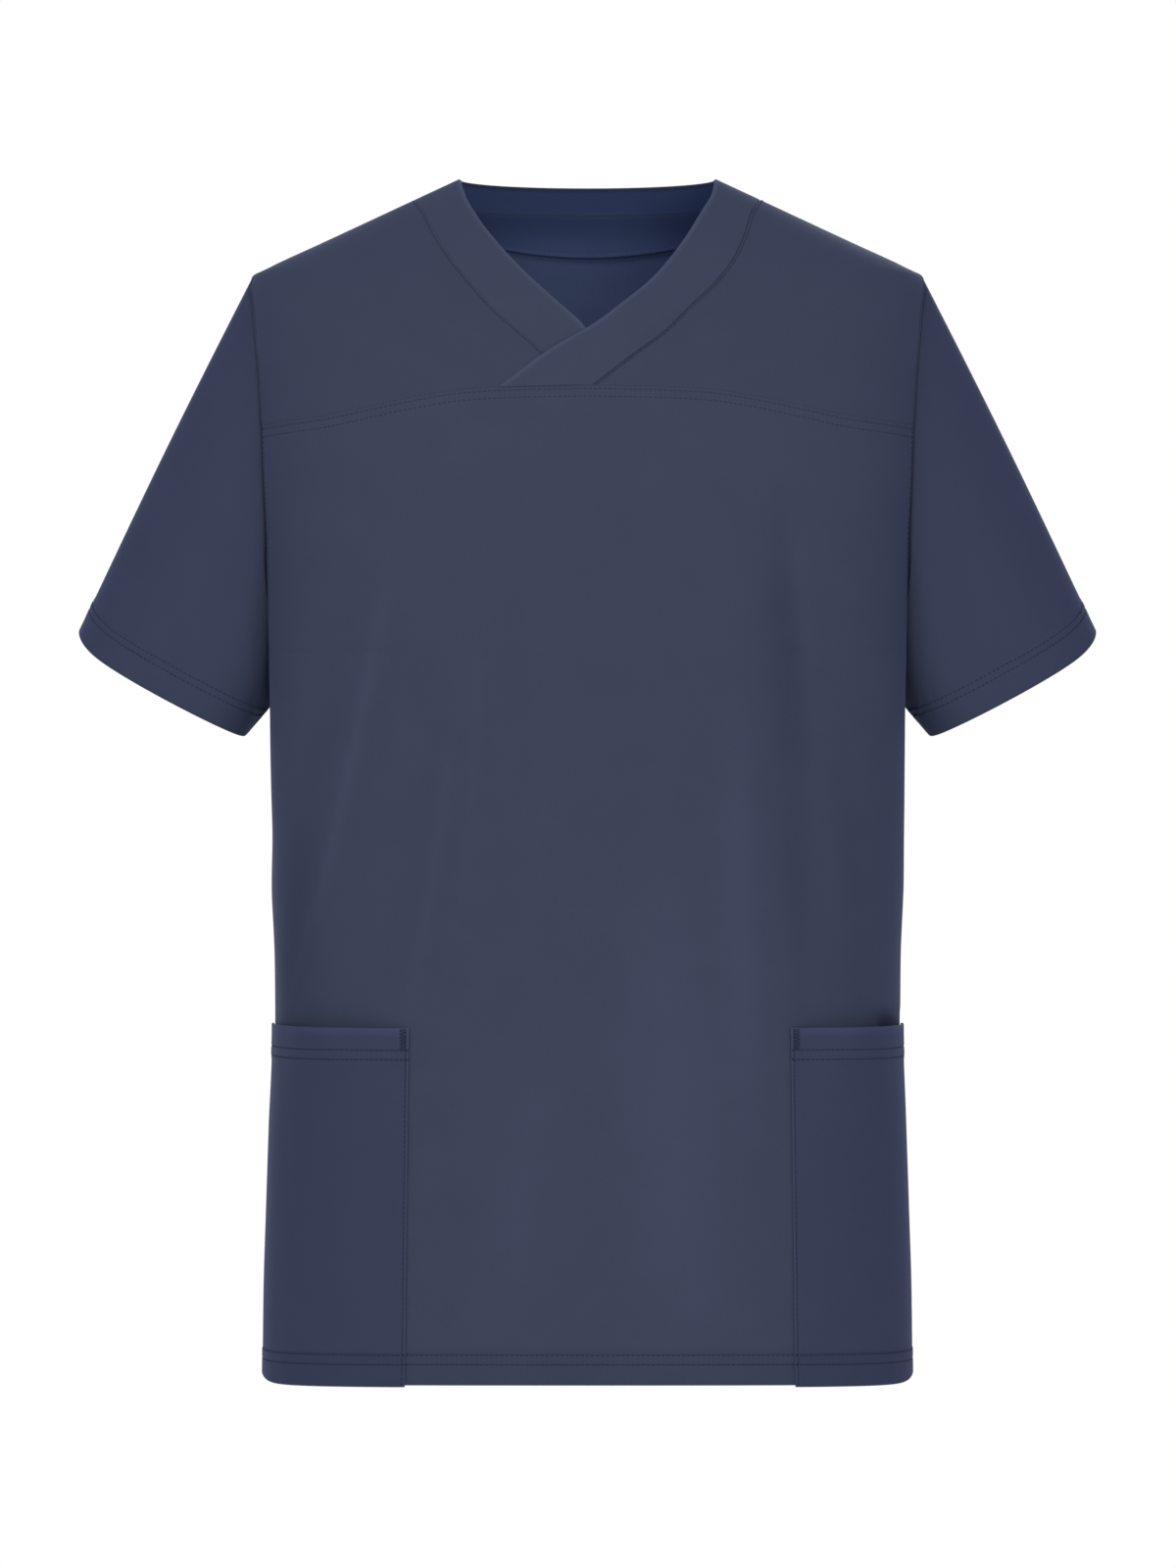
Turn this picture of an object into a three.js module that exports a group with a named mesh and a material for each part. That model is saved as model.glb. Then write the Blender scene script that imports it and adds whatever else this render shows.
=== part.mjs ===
// Short-sleeved scrub top: a pull-on tunic with a crossover V neck, a stitched yoke seam across
// the chest and two patch pockets. It keeps the filled-out, hollow form that it has when worn.
//
// Millimetres, +Z up. The origin is midway between the two points where the neck meets the
// shoulders. The front faces -Y. Right and left are as seen from the front, so right is +X.
import * as THREE from 'three';

// Cloth and seams
const CLOTH = 1.2;
const BAND_CLOTH = 2.0;
const SEAM_GAP = 0.3;
const YOKE_GAP = 0.4;
const LAYER_GAP = 0.5;
const CROSSING_GAP = 0.6;
const FACING_GAP = 1.4;
const UNDERARM_GAP = 0.6;

// Wall where body and sleeve meet at a bend: along is where the sleeve's slope is read, most and
// least bound how far a cut wall is stretched, and sharp is the bend that counts as a fold
const BEND = { along: 0.01, most: 1.6, least: 0.2, sharp: 0.4 };

// Body form, one row for each height. half is the half width, front and back are the depths
// before and behind the line at y = side, square is the exponent of the rounded section, pinch
// draws the sides in behind the folds that hang beside the underarms, and ease rounds the
// shoulders off behind their ridge.
const SECTIONS = [
  { z: -745, half: 196.9, front: 120, back: 115, side: 0, square: 3.0, pinch: 0, ease: 0 },
  { z: -680, half: 196.2, front: 119.5, back: 113, side: 0, square: 3.0, pinch: 0, ease: 0 },
  { z: -630, half: 194.7, front: 118.5, back: 110.5, side: 0, square: 3.0, pinch: 0, ease: 0 },
  { z: -575, half: 192.9, front: 117, back: 107, side: 0, square: 3.0, pinch: 0, ease: 0 },
  { z: -517, half: 191.1, front: 115.5, back: 102, side: 0, square: 3.0, pinch: 0, ease: 0 },
  { z: -480, half: 191.3, front: 115, back: 100, side: 0, square: 3.0, pinch: 0, ease: 0 },
  { z: -440, half: 192.4, front: 115, back: 99.5, side: 0, square: 3.0, pinch: 1, ease: 0 },
  { z: -390, half: 194.5, front: 116.5, back: 101.5, side: 0.5, square: 3.1, pinch: 6, ease: 0 },
  { z: -350, half: 196.5, front: 118.5, back: 105, side: 1, square: 3.2, pinch: 14, ease: 0 },
  { z: -320, half: 197.6, front: 120, back: 108, side: 1.5, square: 3.3, pinch: 24, ease: 0 },
  { z: -292, half: 198.4, front: 121.5, back: 111, side: 2, square: 3.3, pinch: 29, ease: 0 },
  { z: -260, half: 198.6, front: 122.5, back: 113.5, side: 3, square: 3.3, pinch: 20, ease: 0 },
  { z: -228, half: 199.5, front: 123, back: 114.5, side: 3.5, square: 3.3, pinch: 10, ease: 0 },
  { z: -190, half: 202, front: 122.5, back: 114, side: 4, square: 3.3, pinch: 3, ease: 0 },
  { z: -155, half: 204, front: 119, back: 112, side: 5, square: 3.3, pinch: 0, ease: 0 },
  { z: -126, half: 206.5, front: 113, back: 109, side: 6.5, square: 3.2, pinch: 0, ease: 3 },
  { z: -90, half: 209, front: 100, back: 104, side: 8, square: 3.0, pinch: 0, ease: 8 },
  { z: -70, half: 209, front: 90, back: 100, side: 8.7, square: 2.85, pinch: 0, ease: 13 },
  { z: -61, half: 205.8, front: 84.5, back: 98, side: 9, square: 2.75, pinch: 0, ease: 15 },
  { z: -54, half: 193.8, front: 80, back: 96, side: 9, square: 2.7, pinch: 0, ease: 14.5 },
  { z: -41, half: 166.1, front: 70.5, back: 91, side: 9.5, square: 2.6, pinch: 0, ease: 12 },
  { z: -28, half: 138.5, front: 58, back: 85, side: 10, square: 2.5, pinch: 0, ease: 8 },
  { z: -16, half: 113, front: 46, back: 74.5, side: 10, square: 2.45, pinch: 0, ease: 4 },
  { z: -8, half: 96, front: 37, back: 63, side: 10, square: 2.4, pinch: 0, ease: 1.5 },
  { z: 0, half: 79, front: 25, back: 48, side: 10, square: 2.4, pinch: 0, ease: 0 },
];
const PINCH_REACH = 30;
const EASE = { reach: 0.7, atFront: 0.15 };
const FOLD_FADE = 0.3;

// Largest folds. Each runs from its top to its bottom, bowed sideways in the middle; height is
// how far it stands out, or lies in where it is negative, and width is its half width.
const FOLDS = [
  { face: 'front', topX: -118, topZ: -215, endX: -181, endZ: -500, bow: 3, height: 3.4, width: 13 },
  { face: 'front', topX: -146, topZ: -250, endX: -196, endZ: -440, bow: 2, height: -2.6, width: 12 },
  { face: 'front', topX: -62, topZ: -225, endX: -114, endZ: -520, bow: 5, height: 2.6, width: 15 },
  { face: 'front', topX: -88, topZ: -280, endX: -136, endZ: -505, bow: 3, height: -2.2, width: 14 },
  { face: 'front', topX: 106, topZ: -190, endX: 125, endZ: -470, bow: 2, height: -3.2, width: 13 },
  { face: 'front', topX: 126, topZ: -215, endX: 150, endZ: -500, bow: 2, height: 2.6, width: 14 },
  { face: 'front', topX: 84, topZ: -230, endX: 98, endZ: -470, bow: -2, height: 1.8, width: 14 },
  { face: 'back', topX: -92, topZ: -140, endX: -118, endZ: -400, bow: -6, height: -3.2, width: 16 },
  { face: 'back', topX: -128, topZ: -170, endX: -150, endZ: -470, bow: -4, height: 3.0, width: 15 },
  { face: 'back', topX: 84, topZ: -150, endX: 132, endZ: -430, bow: 7, height: 3.2, width: 16 },
  { face: 'back', topX: 56, topZ: -190, endX: 84, endZ: -390, bow: 4, height: -2.4, width: 14 },
  { face: 'back', topX: 10, topZ: -340, endX: -16, endZ: -620, bow: -5, height: -3.0, width: 20 },
  { face: 'back', topX: -38, topZ: -300, endX: -58, endZ: -560, bow: -4, height: 2.2, width: 17 },
];

// Seams on the front, as heights over the distance from the middle
const YOKE_SEAM = [
  { x: 0, z: -131.6 },
  { x: 40, z: -132.4 },
  { x: 72, z: -134 },
  { x: 103, z: -138.6 },
  { x: 131, z: -144.2 },
  { x: 160, z: -149.8 },
  { x: 197, z: -153.8 },
];

// Neck band on each side: the seam that joins it to the yoke and the free inner edge, from the
// shoulder to the yoke seam. The left band ends trimmed, out of sight under the right one.
const RIGHT_BAND = [
  { seamX: 106, seamZ: -12.7, edgeX: 79, edgeZ: 0 },
  { seamX: 100.1, seamZ: -22.5, edgeX: 77, edgeZ: -9.7 },
  { seamX: 95.2, seamZ: -37.8, edgeX: 69.5, edgeZ: -23.3 },
  { seamX: 88.3, seamZ: -53, edgeX: 58, edgeZ: -42.5 },
  { seamX: 78, seamZ: -67, edgeX: 43.4, edgeZ: -61.5 },
  { seamX: 63, seamZ: -82, edgeX: 25, edgeZ: -79 },
  { seamX: 46, seamZ: -99, edgeX: 4.5, edgeZ: -95 },
  { seamX: 26, seamZ: -114, edgeX: -23, edgeZ: -111 },
  { seamX: 3.5, seamZ: -131.6, edgeX: -52.7, edgeZ: -132.9 },
];
const LEFT_BAND = [
  { seamX: 106, seamZ: -12.7, edgeX: 79, edgeZ: 0 },
  { seamX: 99, seamZ: -22.5, edgeX: 76, edgeZ: -10.5 },
  { seamX: 92.2, seamZ: -36.5, edgeX: 67.6, edgeZ: -26 },
  { seamX: 82.5, seamZ: -52.5, edgeX: 53.5, edgeZ: -45 },
  { seamX: 70.5, seamZ: -68, edgeX: 38, edgeZ: -62 },
  { seamX: 56, seamZ: -85.2, edgeX: 20, edgeZ: -79 },
  { seamX: 41, seamZ: -98.5, edgeX: 3, edgeZ: -95 },
  { seamX: 26.5, seamZ: -112, edgeX: -5, edgeZ: -108 },
  { seamX: 12, seamZ: -131.6, edgeX: 8, edgeZ: -131.6 },
];
const CROSSING = { start: 0.52, ramp: 0.16, inward: 0.25 };
const BACK_RIM_DIP = 1.8;
const BACK_SEAM_DIP = 3.6;
const FACING = { shoulderZ: -24, middleZ: -41.5, roundness: 5 };

// Armhole, as an oval seen from the side
const ARMHOLE = { topZ: -58, wideZ: -170, bottomZ: -292, front: 60, back: 62, upper: 2, lower: 2.6 };

// Sleeve end: the middle of the cuff, the direction from its inner to its outer corner, its two
// radii and how far its front lip hangs below its back lip
const CUFF = { x: 259.5, y: 6, z: -310.5, slope: 29.8, radius: 58.5, depth: 60, sag: 6.5 };
const SLEEVE_START = 0.05;

// Hems and pockets
const HEM = { middleZ: -729.5, sideZ: -733.5 };
const POCKET = {
  topZ: -517.5,
  below: 0.8,
  gape: 9,
  gapeDepth: 90,
  gapeAt: 2,
  leastColumn: 0.03,
};
const POCKET_EDGE = {
  right: { topX: 121.6, bottomX: 124.1 },
  left: { topX: 106.8, bottomX: 109.1 },
};

// Steps of the grids
const STEPS = {
  shoulder: 9,
  neck: 24,
  yokeSide: 12,
  frontSide: 10,
  backSide: 13,
  front: 30,
  waist: 7,
  band: 4,
  sleeve: 7,
  pocketHigh: 8,
  facing: 3,
};

const COLOURS = {
  front: 0x3e465a,
  back: 0x39415a,
  yoke: 0x3b4458,
  sleeve: 0x3a4258,
  pocket: 0x384157,
  band: 0x3e465a,
  inside: 0x2b3551,
};

// Accuracy of what is found by repeated steps, and the small steps that slopes are read over
const HALVINGS = 40;
const SETTLINGS = 6;
const SLOPE_STEP = { turn: 1e-3, height: 0.2 };

const { PI, abs, max, min, sin, cos, atan2, exp, sign } = Math;
const mix = (a, b, share) => a + (b - a) * share;
const clamp = (value, low, high) => min(high, max(low, value));
const smooth = (value) => {
  const share = clamp(value, 0, 1);
  return share * share * (3 - 2 * share);
};

// Smooth curve through the rows of a table: column over key, without overshoot
function curveThrough(rows, key, column) {
  const xs = rows.map((row) => row[key]);
  const ys = rows.map((row) => row[column]);
  const slopes = xs.slice(1).map((x, i) => (ys[i + 1] - ys[i]) / (x - xs[i]));
  const tangents = xs.map((x, i) => {
    if (i === 0) return slopes[0];
    if (i === xs.length - 1) return slopes[i - 1];
    const before = slopes[i - 1];
    const after = slopes[i];
    return before * after > 0 ? (2 * before * after) / (before + after) : 0;
  });
  return (x) => {
    const at = clamp(x, xs[0], xs[xs.length - 1]);
    let i = 0;
    while (i < xs.length - 2 && at > xs[i + 1]) i += 1;
    const step = xs[i + 1] - xs[i];
    const s = (at - xs[i]) / step;
    const rise = s * s * (3 - 2 * s);
    const leave = s * (1 - s) * (1 - s) * step * tangents[i];
    const arrive = s * s * (s - 1) * step * tangents[i + 1];
    return ys[i] + (ys[i + 1] - ys[i]) * rise + leave + arrive;
  };
}

const sectionCurves = Object.fromEntries(
  ['half', 'front', 'back', 'side', 'square', 'pinch', 'ease'].map(
    (column) => [column, curveThrough(SECTIONS, 'z', column)],
  ),
);
const sectionAt = (z) => Object.fromEntries(
  Object.entries(sectionCurves).map(([column, curve]) => [column, curve(z)]),
);

// Plain body form. angle is 0 at the right side, a quarter turn at the middle of the front, half
// a turn at the left side, and negative over the back.
function plainPoint(angle, z) {
  const section = sectionAt(z);
  const across = cos(angle);
  const along = sin(angle);
  const power = section.square;
  const reach = (abs(across) ** power + abs(along) ** power) ** (-1 / power);
  const depth = along > 0 ? section.front : section.back;
  const y = depth * reach * along;
  const drawnIn = section.pinch * exp(-((y / PINCH_REACH) ** 2));
  const eased = section.ease * smooth(abs(along) / EASE.reach) * (along > 0 ? EASE.atFront : 1);
  const x = (section.half - eased) * reach * across - sign(across) * drawnIn;
  return new THREE.Vector3(x, section.side - y, z);
}

function normalOf(pointAt, angle, z) {
  const { turn, height } = SLOPE_STEP;
  const around = pointAt(angle + turn, z).sub(pointAt(angle - turn, z));
  const upwards = pointAt(angle, z + height).sub(pointAt(angle, z - height));
  return upwards.cross(around).normalize();
}

function foldHeight(x, z, angle) {
  const face = sin(angle) > 0 ? 'front' : 'back';
  const fade = smooth(abs(sin(angle)) / FOLD_FADE);
  let height = 0;
  for (const fold of FOLDS) {
    const share = (z - fold.topZ) / (fold.endZ - fold.topZ);
    if (fold.face === face && share > 0 && share < 1) {
      const middle = mix(fold.topX, fold.endX, share) + 4 * fold.bow * share * (1 - share);
      const away = (x - middle) / fold.width;
      height += fold.height * sin(PI * share) * exp(-away * away);
    }
  }
  return height * fade;
}

// Body form with its folds
function bodyPoint(angle, z) {
  const point = plainPoint(angle, z);
  const height = foldHeight(point.x, z, angle);
  if (height === 0) return point;
  const normal = normalOf(plainPoint, angle, z);
  return point.addScaledVector(normal, height);
}
const bodyNormal = (angle, z) => normalOf(bodyPoint, angle, z);

// Angle of the front point that lies x from the middle at a height
function angleAcross(x, z) {
  let low = 0;
  let high = PI;
  for (let pass = 0; pass < HALVINGS; pass += 1) {
    const angle = (low + high) / 2;
    if (plainPoint(angle, z).x > x) low = angle;
    else high = angle;
  }
  return (low + high) / 2;
}

// Places on the body are pairs of angle and height
const place = (angle, z) => ({ angle, z });
const mirrored = (spot) => place(PI - spot.angle, spot.z);
const mixPlaces = (a, b, share) => place(mix(a.angle, b.angle, share), mix(a.z, b.z, share));

// Armhole of the right side; turn is 0 at the shoulder tip, a quarter at the front
function armholePlace(turn) {
  const upper = cos(turn) > 0;
  const roundness = upper ? ARMHOLE.upper : ARMHOLE.lower;
  const rise = abs(cos(turn)) ** (2 / roundness);
  const reach = abs(sin(turn)) ** (2 / roundness);
  const z = mix(ARMHOLE.wideZ, upper ? ARMHOLE.topZ : ARMHOLE.bottomZ, rise);
  const forward = sin(turn) > 0;
  const section = sectionAt(z);
  const depth = forward ? section.front : section.back;
  const along = (reach * (forward ? ARMHOLE.front : ARMHOLE.back)) / depth;
  const across = (1 - along ** section.square) ** (1 / section.square);
  return place((forward ? 1 : -1) * atan2(along, across), z);
}

const yokeHeight = curveThrough(YOKE_SEAM, 'x', 'z');
function yokePlace(angle) {
  let z = YOKE_SEAM[0].z;
  for (let pass = 0; pass < SETTLINGS; pass += 1) z = yokeHeight(abs(plainPoint(angle, z).x));
  return place(angle, z);
}

// Turn at which the armhole meets the yoke seam
function yokeTurn() {
  let low = 0.25 * PI;
  let high = 0.6 * PI;
  for (let pass = 0; pass < HALVINGS; pass += 1) {
    const turn = (low + high) / 2;
    const spot = armholePlace(turn);
    if (spot.z > yokePlace(spot.angle).z) low = turn;
    else high = turn;
  }
  return (low + high) / 2;
}
const YOKE_TURN = yokeTurn();

// Lines along a band, from the shoulder, where both start on the ridge, to the yoke seam
const RIDGE_START = 1e-6;
function bandLines(rows) {
  const stations = rows.map((row, index) => {
    if (index > 0) return { index, ...row };
    const seamX = sectionAt(row.seamZ).half + RIDGE_START;
    const edgeX = sectionAt(row.edgeZ).half + RIDGE_START;
    return { index, ...row, seamX, edgeX };
  });
  const last = rows.length - 1;
  const line = (acrossColumn, heightColumn) => {
    const across = curveThrough(stations, 'index', acrossColumn);
    const height = curveThrough(stations, 'index', heightColumn);
    return (share) => {
      const z = height(share * last);
      return place(angleAcross(across(share * last), z), z);
    };
  };
  return { seam: line('seamX', 'seamZ'), edge: line('edgeX', 'edgeZ') };
}
const rightBand = bandLines(RIGHT_BAND);
const leftBand = bandLines(LEFT_BAND);

// Neck at the back, from the right shoulder to the left one
const neckSeamZ = RIGHT_BAND[0].seamZ;
const backRim = (share) => place(-PI * share, -BACK_RIM_DIP * sin(PI * share) ** 2);
const backSeam = (share) => place(-PI * share, neckSeamZ - BACK_SEAM_DIP * sin(PI * share) ** 2);
function facingEdge(share) {
  const drop = sin(PI * share) ** FACING.roundness;
  return place(-PI * share, mix(FACING.shoulderZ, FACING.middleZ, drop));
}
const shoulderLine = (share) => place(0, mix(ARMHOLE.topZ, neckSeamZ, share));

// Patch between four lines, blended on two named measures of a place; across runs from side to
// side and up from bottom to top
function patchBetween(measures, bottom, top, start, end) {
  return (across, up) => {
    const spot = {};
    for (const key of measures) {
      const ruled = mix(bottom(across)[key], top(across)[key], up);
      const swept = mix(start(up)[key], end(up)[key], across);
      const corners = mix(
        mix(bottom(0)[key], bottom(1)[key], across),
        mix(top(0)[key], top(1)[key], across),
        up,
      );
      spot[key] = ruled + swept - corners;
    }
    return spot;
  };
}
const withX = (line) => (share) => {
  const spot = line(share);
  return { ...spot, x: plainPoint(spot.angle, spot.z).x };
};

const shares = (count) => Array.from({ length: count + 1 }, (unused, i) => i / count);

// Outer and inner skins of a wall over a grid of places. lift moves a layer out from the body
// form; thick is the wall.
function skinsOver(places, thick, lift = () => 0) {
  const outer = [];
  const inner = [];
  places.forEach((row, i) => {
    outer.push([]);
    inner.push([]);
    row.forEach((spot, j) => {
      const point = bodyPoint(spot.angle, spot.z);
      const normal = spot.normal ?? bodyNormal(spot.angle, spot.z);
      const height = lift(i, j, spot);
      outer[i].push(point.clone().addScaledVector(normal, height));
      inner[i].push(point.clone().addScaledVector(normal, height - thick * (spot.stretch ?? 1)));
    });
  });
  return { outer, inner };
}

// Draws one edge of both skins back along the wall, which leaves the gap at a seam
function drawBack(skins, edge, distance) {
  const rows = skins.outer.length;
  const columns = skins.outer[0].length;
  const alongRow = edge === 'first' || edge === 'last';
  const count = alongRow ? columns : rows;
  const at = (grid, k, depth) => {
    if (edge === 'first') return grid[depth][k];
    if (edge === 'last') return grid[rows - 1 - depth][k];
    if (edge === 'start') return grid[k][depth];
    return grid[k][columns - 1 - depth];
  };
  const moves = Array.from({ length: count }, (unused, k) => {
    const before = at(skins.outer, max(0, k - 1), 0);
    const after = at(skins.outer, min(count - 1, k + 1), 0);
    const tangent = after.clone().sub(before).normalize();
    const move = at(skins.outer, k, 1).clone().sub(at(skins.outer, k, 0));
    move.addScaledVector(tangent, -move.dot(tangent));
    return move.setLength(distance);
  });
  moves.forEach((move, k) => {
    at(skins.outer, k, 0).add(move);
    at(skins.inner, k, 0).add(move);
  });
}

// Closed wall between two skins; round joins the last column to the first
function wallBetween({ outer, inner }, round = false) {
  const rows = outer.length;
  const columns = outer[0].length;
  const positions = [];
  for (const skin of [outer, inner]) {
    for (const row of skin) {
      for (const point of row) positions.push(point.x, point.y, point.z);
    }
  }
  const index = (skin, i, j) => skin * rows * columns + i * columns + (j % columns);
  const triangles = [];
  const quad = (a, b, c, d) => triangles.push([a, b, c], [a, c, d]);
  const spans = round ? columns : columns - 1;
  const outerAt = (i, j) => outer[i][j % columns];
  for (let i = 0; i < rows - 1; i += 1) {
    for (let j = 0; j < spans; j += 1) {
      const rising = outerAt(i, j).distanceTo(outerAt(i + 1, j + 1));
      const falling = outerAt(i, j + 1).distanceTo(outerAt(i + 1, j));
      const corners = [[i, j], [i, j + 1], [i + 1, j + 1], [i + 1, j]];
      if (falling < rising) corners.push(corners.shift());
      quad(...corners.map(([row, column]) => index(0, row, column)));
      const [a, b, c, d] = corners.map(([row, column]) => index(1, row, column));
      quad(a, d, c, b);
    }
  }
  for (let j = 0; j < spans; j += 1) {
    quad(index(0, 0, j + 1), index(0, 0, j), index(1, 0, j), index(1, 0, j + 1));
    const top = rows - 1;
    quad(index(0, top, j), index(0, top, j + 1), index(1, top, j + 1), index(1, top, j));
  }
  for (let i = 0; i < rows - 1 && !round; i += 1) {
    const end = columns - 1;
    quad(index(0, i, 0), index(0, i + 1, 0), index(1, i + 1, 0), index(1, i, 0));
    quad(index(0, i + 1, end), index(0, i, end), index(1, i, end), index(1, i + 1, end));
  }
  return facingOut(positions, triangles);
}

function facingOut(positions, triangles) {
  const corner = (k) => new THREE.Vector3().fromArray(positions, 3 * k);
  let volume = 0;
  for (const [a, b, c] of triangles) volume += corner(a).dot(corner(b).cross(corner(c)));
  const ordered = volume > 0 ? triangles : triangles.map(([a, b, c]) => [a, c, b]);
  const geometry = new THREE.BufferGeometry();
  geometry.setAttribute('position', new THREE.Float32BufferAttribute(positions, 3));
  geometry.setIndex(ordered.flat());
  geometry.computeVertexNormals();
  return geometry;
}

// Sleeve of the right side: the armhole seam, lofted to the cuff. along is 0 at the armhole.
function cuffPoint(turn) {
  const slope = (CUFF.slope * PI) / 180;
  const outward = new THREE.Vector3(cos(slope), 0, sin(slope));
  const down = new THREE.Vector3(sin(slope), 0, -cos(slope));
  return new THREE.Vector3(CUFF.x, CUFF.y - CUFF.depth * sin(turn), CUFF.z)
    .addScaledVector(outward, CUFF.radius * cos(turn))
    .addScaledVector(down, CUFF.sag * sin(turn));
}
function sleevePoint(turn, along) {
  const seam = armholePlace(turn);
  return bodyPoint(seam.angle, seam.z).lerp(cuffPoint(turn), along);
}
function sleeveNormal(turn, along) {
  const step = SLOPE_STEP.turn;
  const around = sleevePoint(turn + step, along).sub(sleevePoint(turn - step, along));
  const down = sleevePoint(turn, along + step).sub(sleevePoint(turn, along - step));
  return around.cross(down).normalize();
}

// Where body and sleeve meet, both walls end on the plane that halves the bend between them
function armholeEdge(turn) {
  const spot = armholePlace(turn);
  const onBody = bodyNormal(spot.angle, spot.z);
  const onSleeve = sleeveNormal(turn, BEND.along);
  const normal = onBody.clone().add(onSleeve).normalize();
  const stretch = min(BEND.most, 1 / max(BEND.least, normal.dot(onBody)));
  const fold = max(0, BEND.sharp - onBody.dot(onSleeve));
  return { ...spot, normal, stretch, onBody, fold };
}
function mirroredEdge(turn) {
  const edge = armholeEdge(turn);
  const normal = edge.normal.clone();
  normal.x = -normal.x;
  return { ...edge, ...mirrored(edge), normal };
}

const LOWEST_ARMHOLE = ARMHOLE.bottomZ;
const frontTurn = (share) => mix(PI, YOKE_TURN, share);
const backTurn = (share) => mix(PI, 2 * PI, share);
const yokeSideTurn = (share) => mix(YOKE_TURN, 0, share);

function hemPlace(angle) {
  return place(angle, mix(HEM.sideZ, HEM.middleZ, smooth(sin(angle) ** 2)));
}

// Rows of a panel up to the underarm; one of them runs level with the tops of the pockets
function lowerRows(bottomLine, columns) {
  const lineUp = (from, to, count) => shares(count).slice(0, -1).map(
    (up) => columns.map((across) => {
      const start = from(across);
      return place(start.angle, mix(start.z, to, up));
    }),
  );
  const levelLine = (across) => place(bottomLine(across).angle, POCKET.topZ);
  return [
    ...lineUp(bottomLine, POCKET.topZ, STEPS.pocketHigh),
    ...lineUp(levelLine, LOWEST_ARMHOLE, STEPS.waist),
  ];
}

// Grid of places from the hem to the underarm and on to the top, with both armhole edges
function panelPlaces({ bottomLine, patch, turnAt, armholeShare, sideSteps, columns }) {
  const lower = lowerRows(bottomLine, columns);
  const upper = shares(sideSteps).map((up) => columns.map((across, j) => {
    const onArmhole = up <= armholeShare;
    if (onArmhole && j === 0) return armholeEdge(turnAt(up));
    if (onArmhole && j === columns.length - 1) return mirroredEdge(turnAt(up));
    return patch(across, up);
  }));
  return [...lower, ...upper];
}

function frontBody() {
  const underarmLine = (across) => place(PI * across, LOWEST_ARMHOLE);
  const corner = armholePlace(YOKE_TURN);
  const yokeLine = (across) => yokePlace(mix(corner.angle, PI - corner.angle, across));
  const patch = patchBetween(
    ['angle', 'z'],
    underarmLine,
    yokeLine,
    (up) => armholePlace(frontTurn(up)),
    (up) => mirrored(armholePlace(frontTurn(up))),
  );
  const places = panelPlaces({
    bottomLine: (across) => hemPlace(PI * across),
    patch,
    turnAt: frontTurn,
    armholeShare: 1,
    sideSteps: STEPS.frontSide,
    columns: shares(STEPS.front),
  });
  const skins = skinsOver(places, CLOTH);
  drawBack(skins, 'last', YOKE_GAP / 2);
  drawSidesBack(skins, 0, STEPS.pocketHigh + STEPS.waist);
  return wallBetween(skins);
}

// Draws both sides back between two rows, as along the side seams below the underarms
function drawSidesBack(skins, fromRow, toRow) {
  const part = {
    outer: skins.outer.slice(fromRow, toRow + 1),
    inner: skins.inner.slice(fromRow, toRow + 1),
  };
  drawBack(part, 'start', SEAM_GAP / 2);
  drawBack(part, 'end', SEAM_GAP / 2);
}

// Side of the back above the underarm: up the armhole, then along the shoulder to the neck
function backSidePlace(up) {
  const step = up * (STEPS.backSide + STEPS.shoulder);
  if (step <= STEPS.backSide) return armholePlace(backTurn(step / STEPS.backSide));
  return shoulderLine((step - STEPS.backSide) / STEPS.shoulder);
}
const mirroredBack = (spot) => ({ ...spot, angle: -PI - spot.angle });

function backBody() {
  const patch = patchBetween(
    ['angle', 'z'],
    (across) => place(-PI * across, LOWEST_ARMHOLE),
    backSeam,
    backSidePlace,
    (up) => mirroredBack(backSidePlace(up)),
  );
  const armholeShare = STEPS.backSide / (STEPS.backSide + STEPS.shoulder);
  const places = panelPlaces({
    bottomLine: (across) => place(-PI * across, HEM.sideZ),
    patch,
    turnAt: (up) => backTurn(up / armholeShare),
    armholeShare,
    sideSteps: STEPS.backSide + STEPS.shoulder,
    columns: shares(STEPS.neck),
  });
  const skins = skinsOver(places, CLOTH);
  const topOfArmhole = places.length - 1 - STEPS.shoulder;
  drawBack(skins, 'last', SEAM_GAP / 2);
  drawSidesBack(skins, 0, STEPS.pocketHigh + STEPS.waist);
  drawSidesBack(skins, topOfArmhole, places.length - 1);
  return wallBetween(skins);
}

// Yoke of the right side, or of the left one where left is true. It is laid out on the front
// view of the body, because the shoulder is nearly level in depth.
function yoke(band, left) {
  const corner = armholePlace(YOKE_TURN);
  const seamEnd = band.seam(1);
  const seamLine = (across) => yokePlace(mix(corner.angle, seamEnd.angle, across));
  const armholeLine = (up) => armholePlace(yokeSideTurn(up));
  const bandLine = (up) => band.seam(1 - up);
  const patch = patchBetween(
    ['x', 'z'],
    withX(seamLine),
    withX(shoulderLine),
    withX(armholeLine),
    withX(bandLine),
  );
  const inPlace = left ? mirrored : (spot) => spot;
  const spotAt = (across, up) => {
    if (up === 0) return seamLine(across);
    if (up === 1) return shoulderLine(across);
    if (across === 1) return bandLine(up);
    const { x, z } = patch(across, up);
    return place(angleAcross(x, z), z);
  };
  const places = shares(STEPS.yokeSide).map((up) => shares(STEPS.shoulder).map((across, j) => {
    if (j > 0) return inPlace(spotAt(across, up));
    return left ? mirroredEdge(yokeSideTurn(up)) : armholeEdge(yokeSideTurn(up));
  }));
  const skins = skinsOver(places, CLOTH);
  drawBack(skins, 'first', YOKE_GAP / 2);
  drawBack(skins, 'last', SEAM_GAP / 2);
  drawBack(skins, 'end', SEAM_GAP / 2);
  return wallBetween(skins);
}

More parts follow.
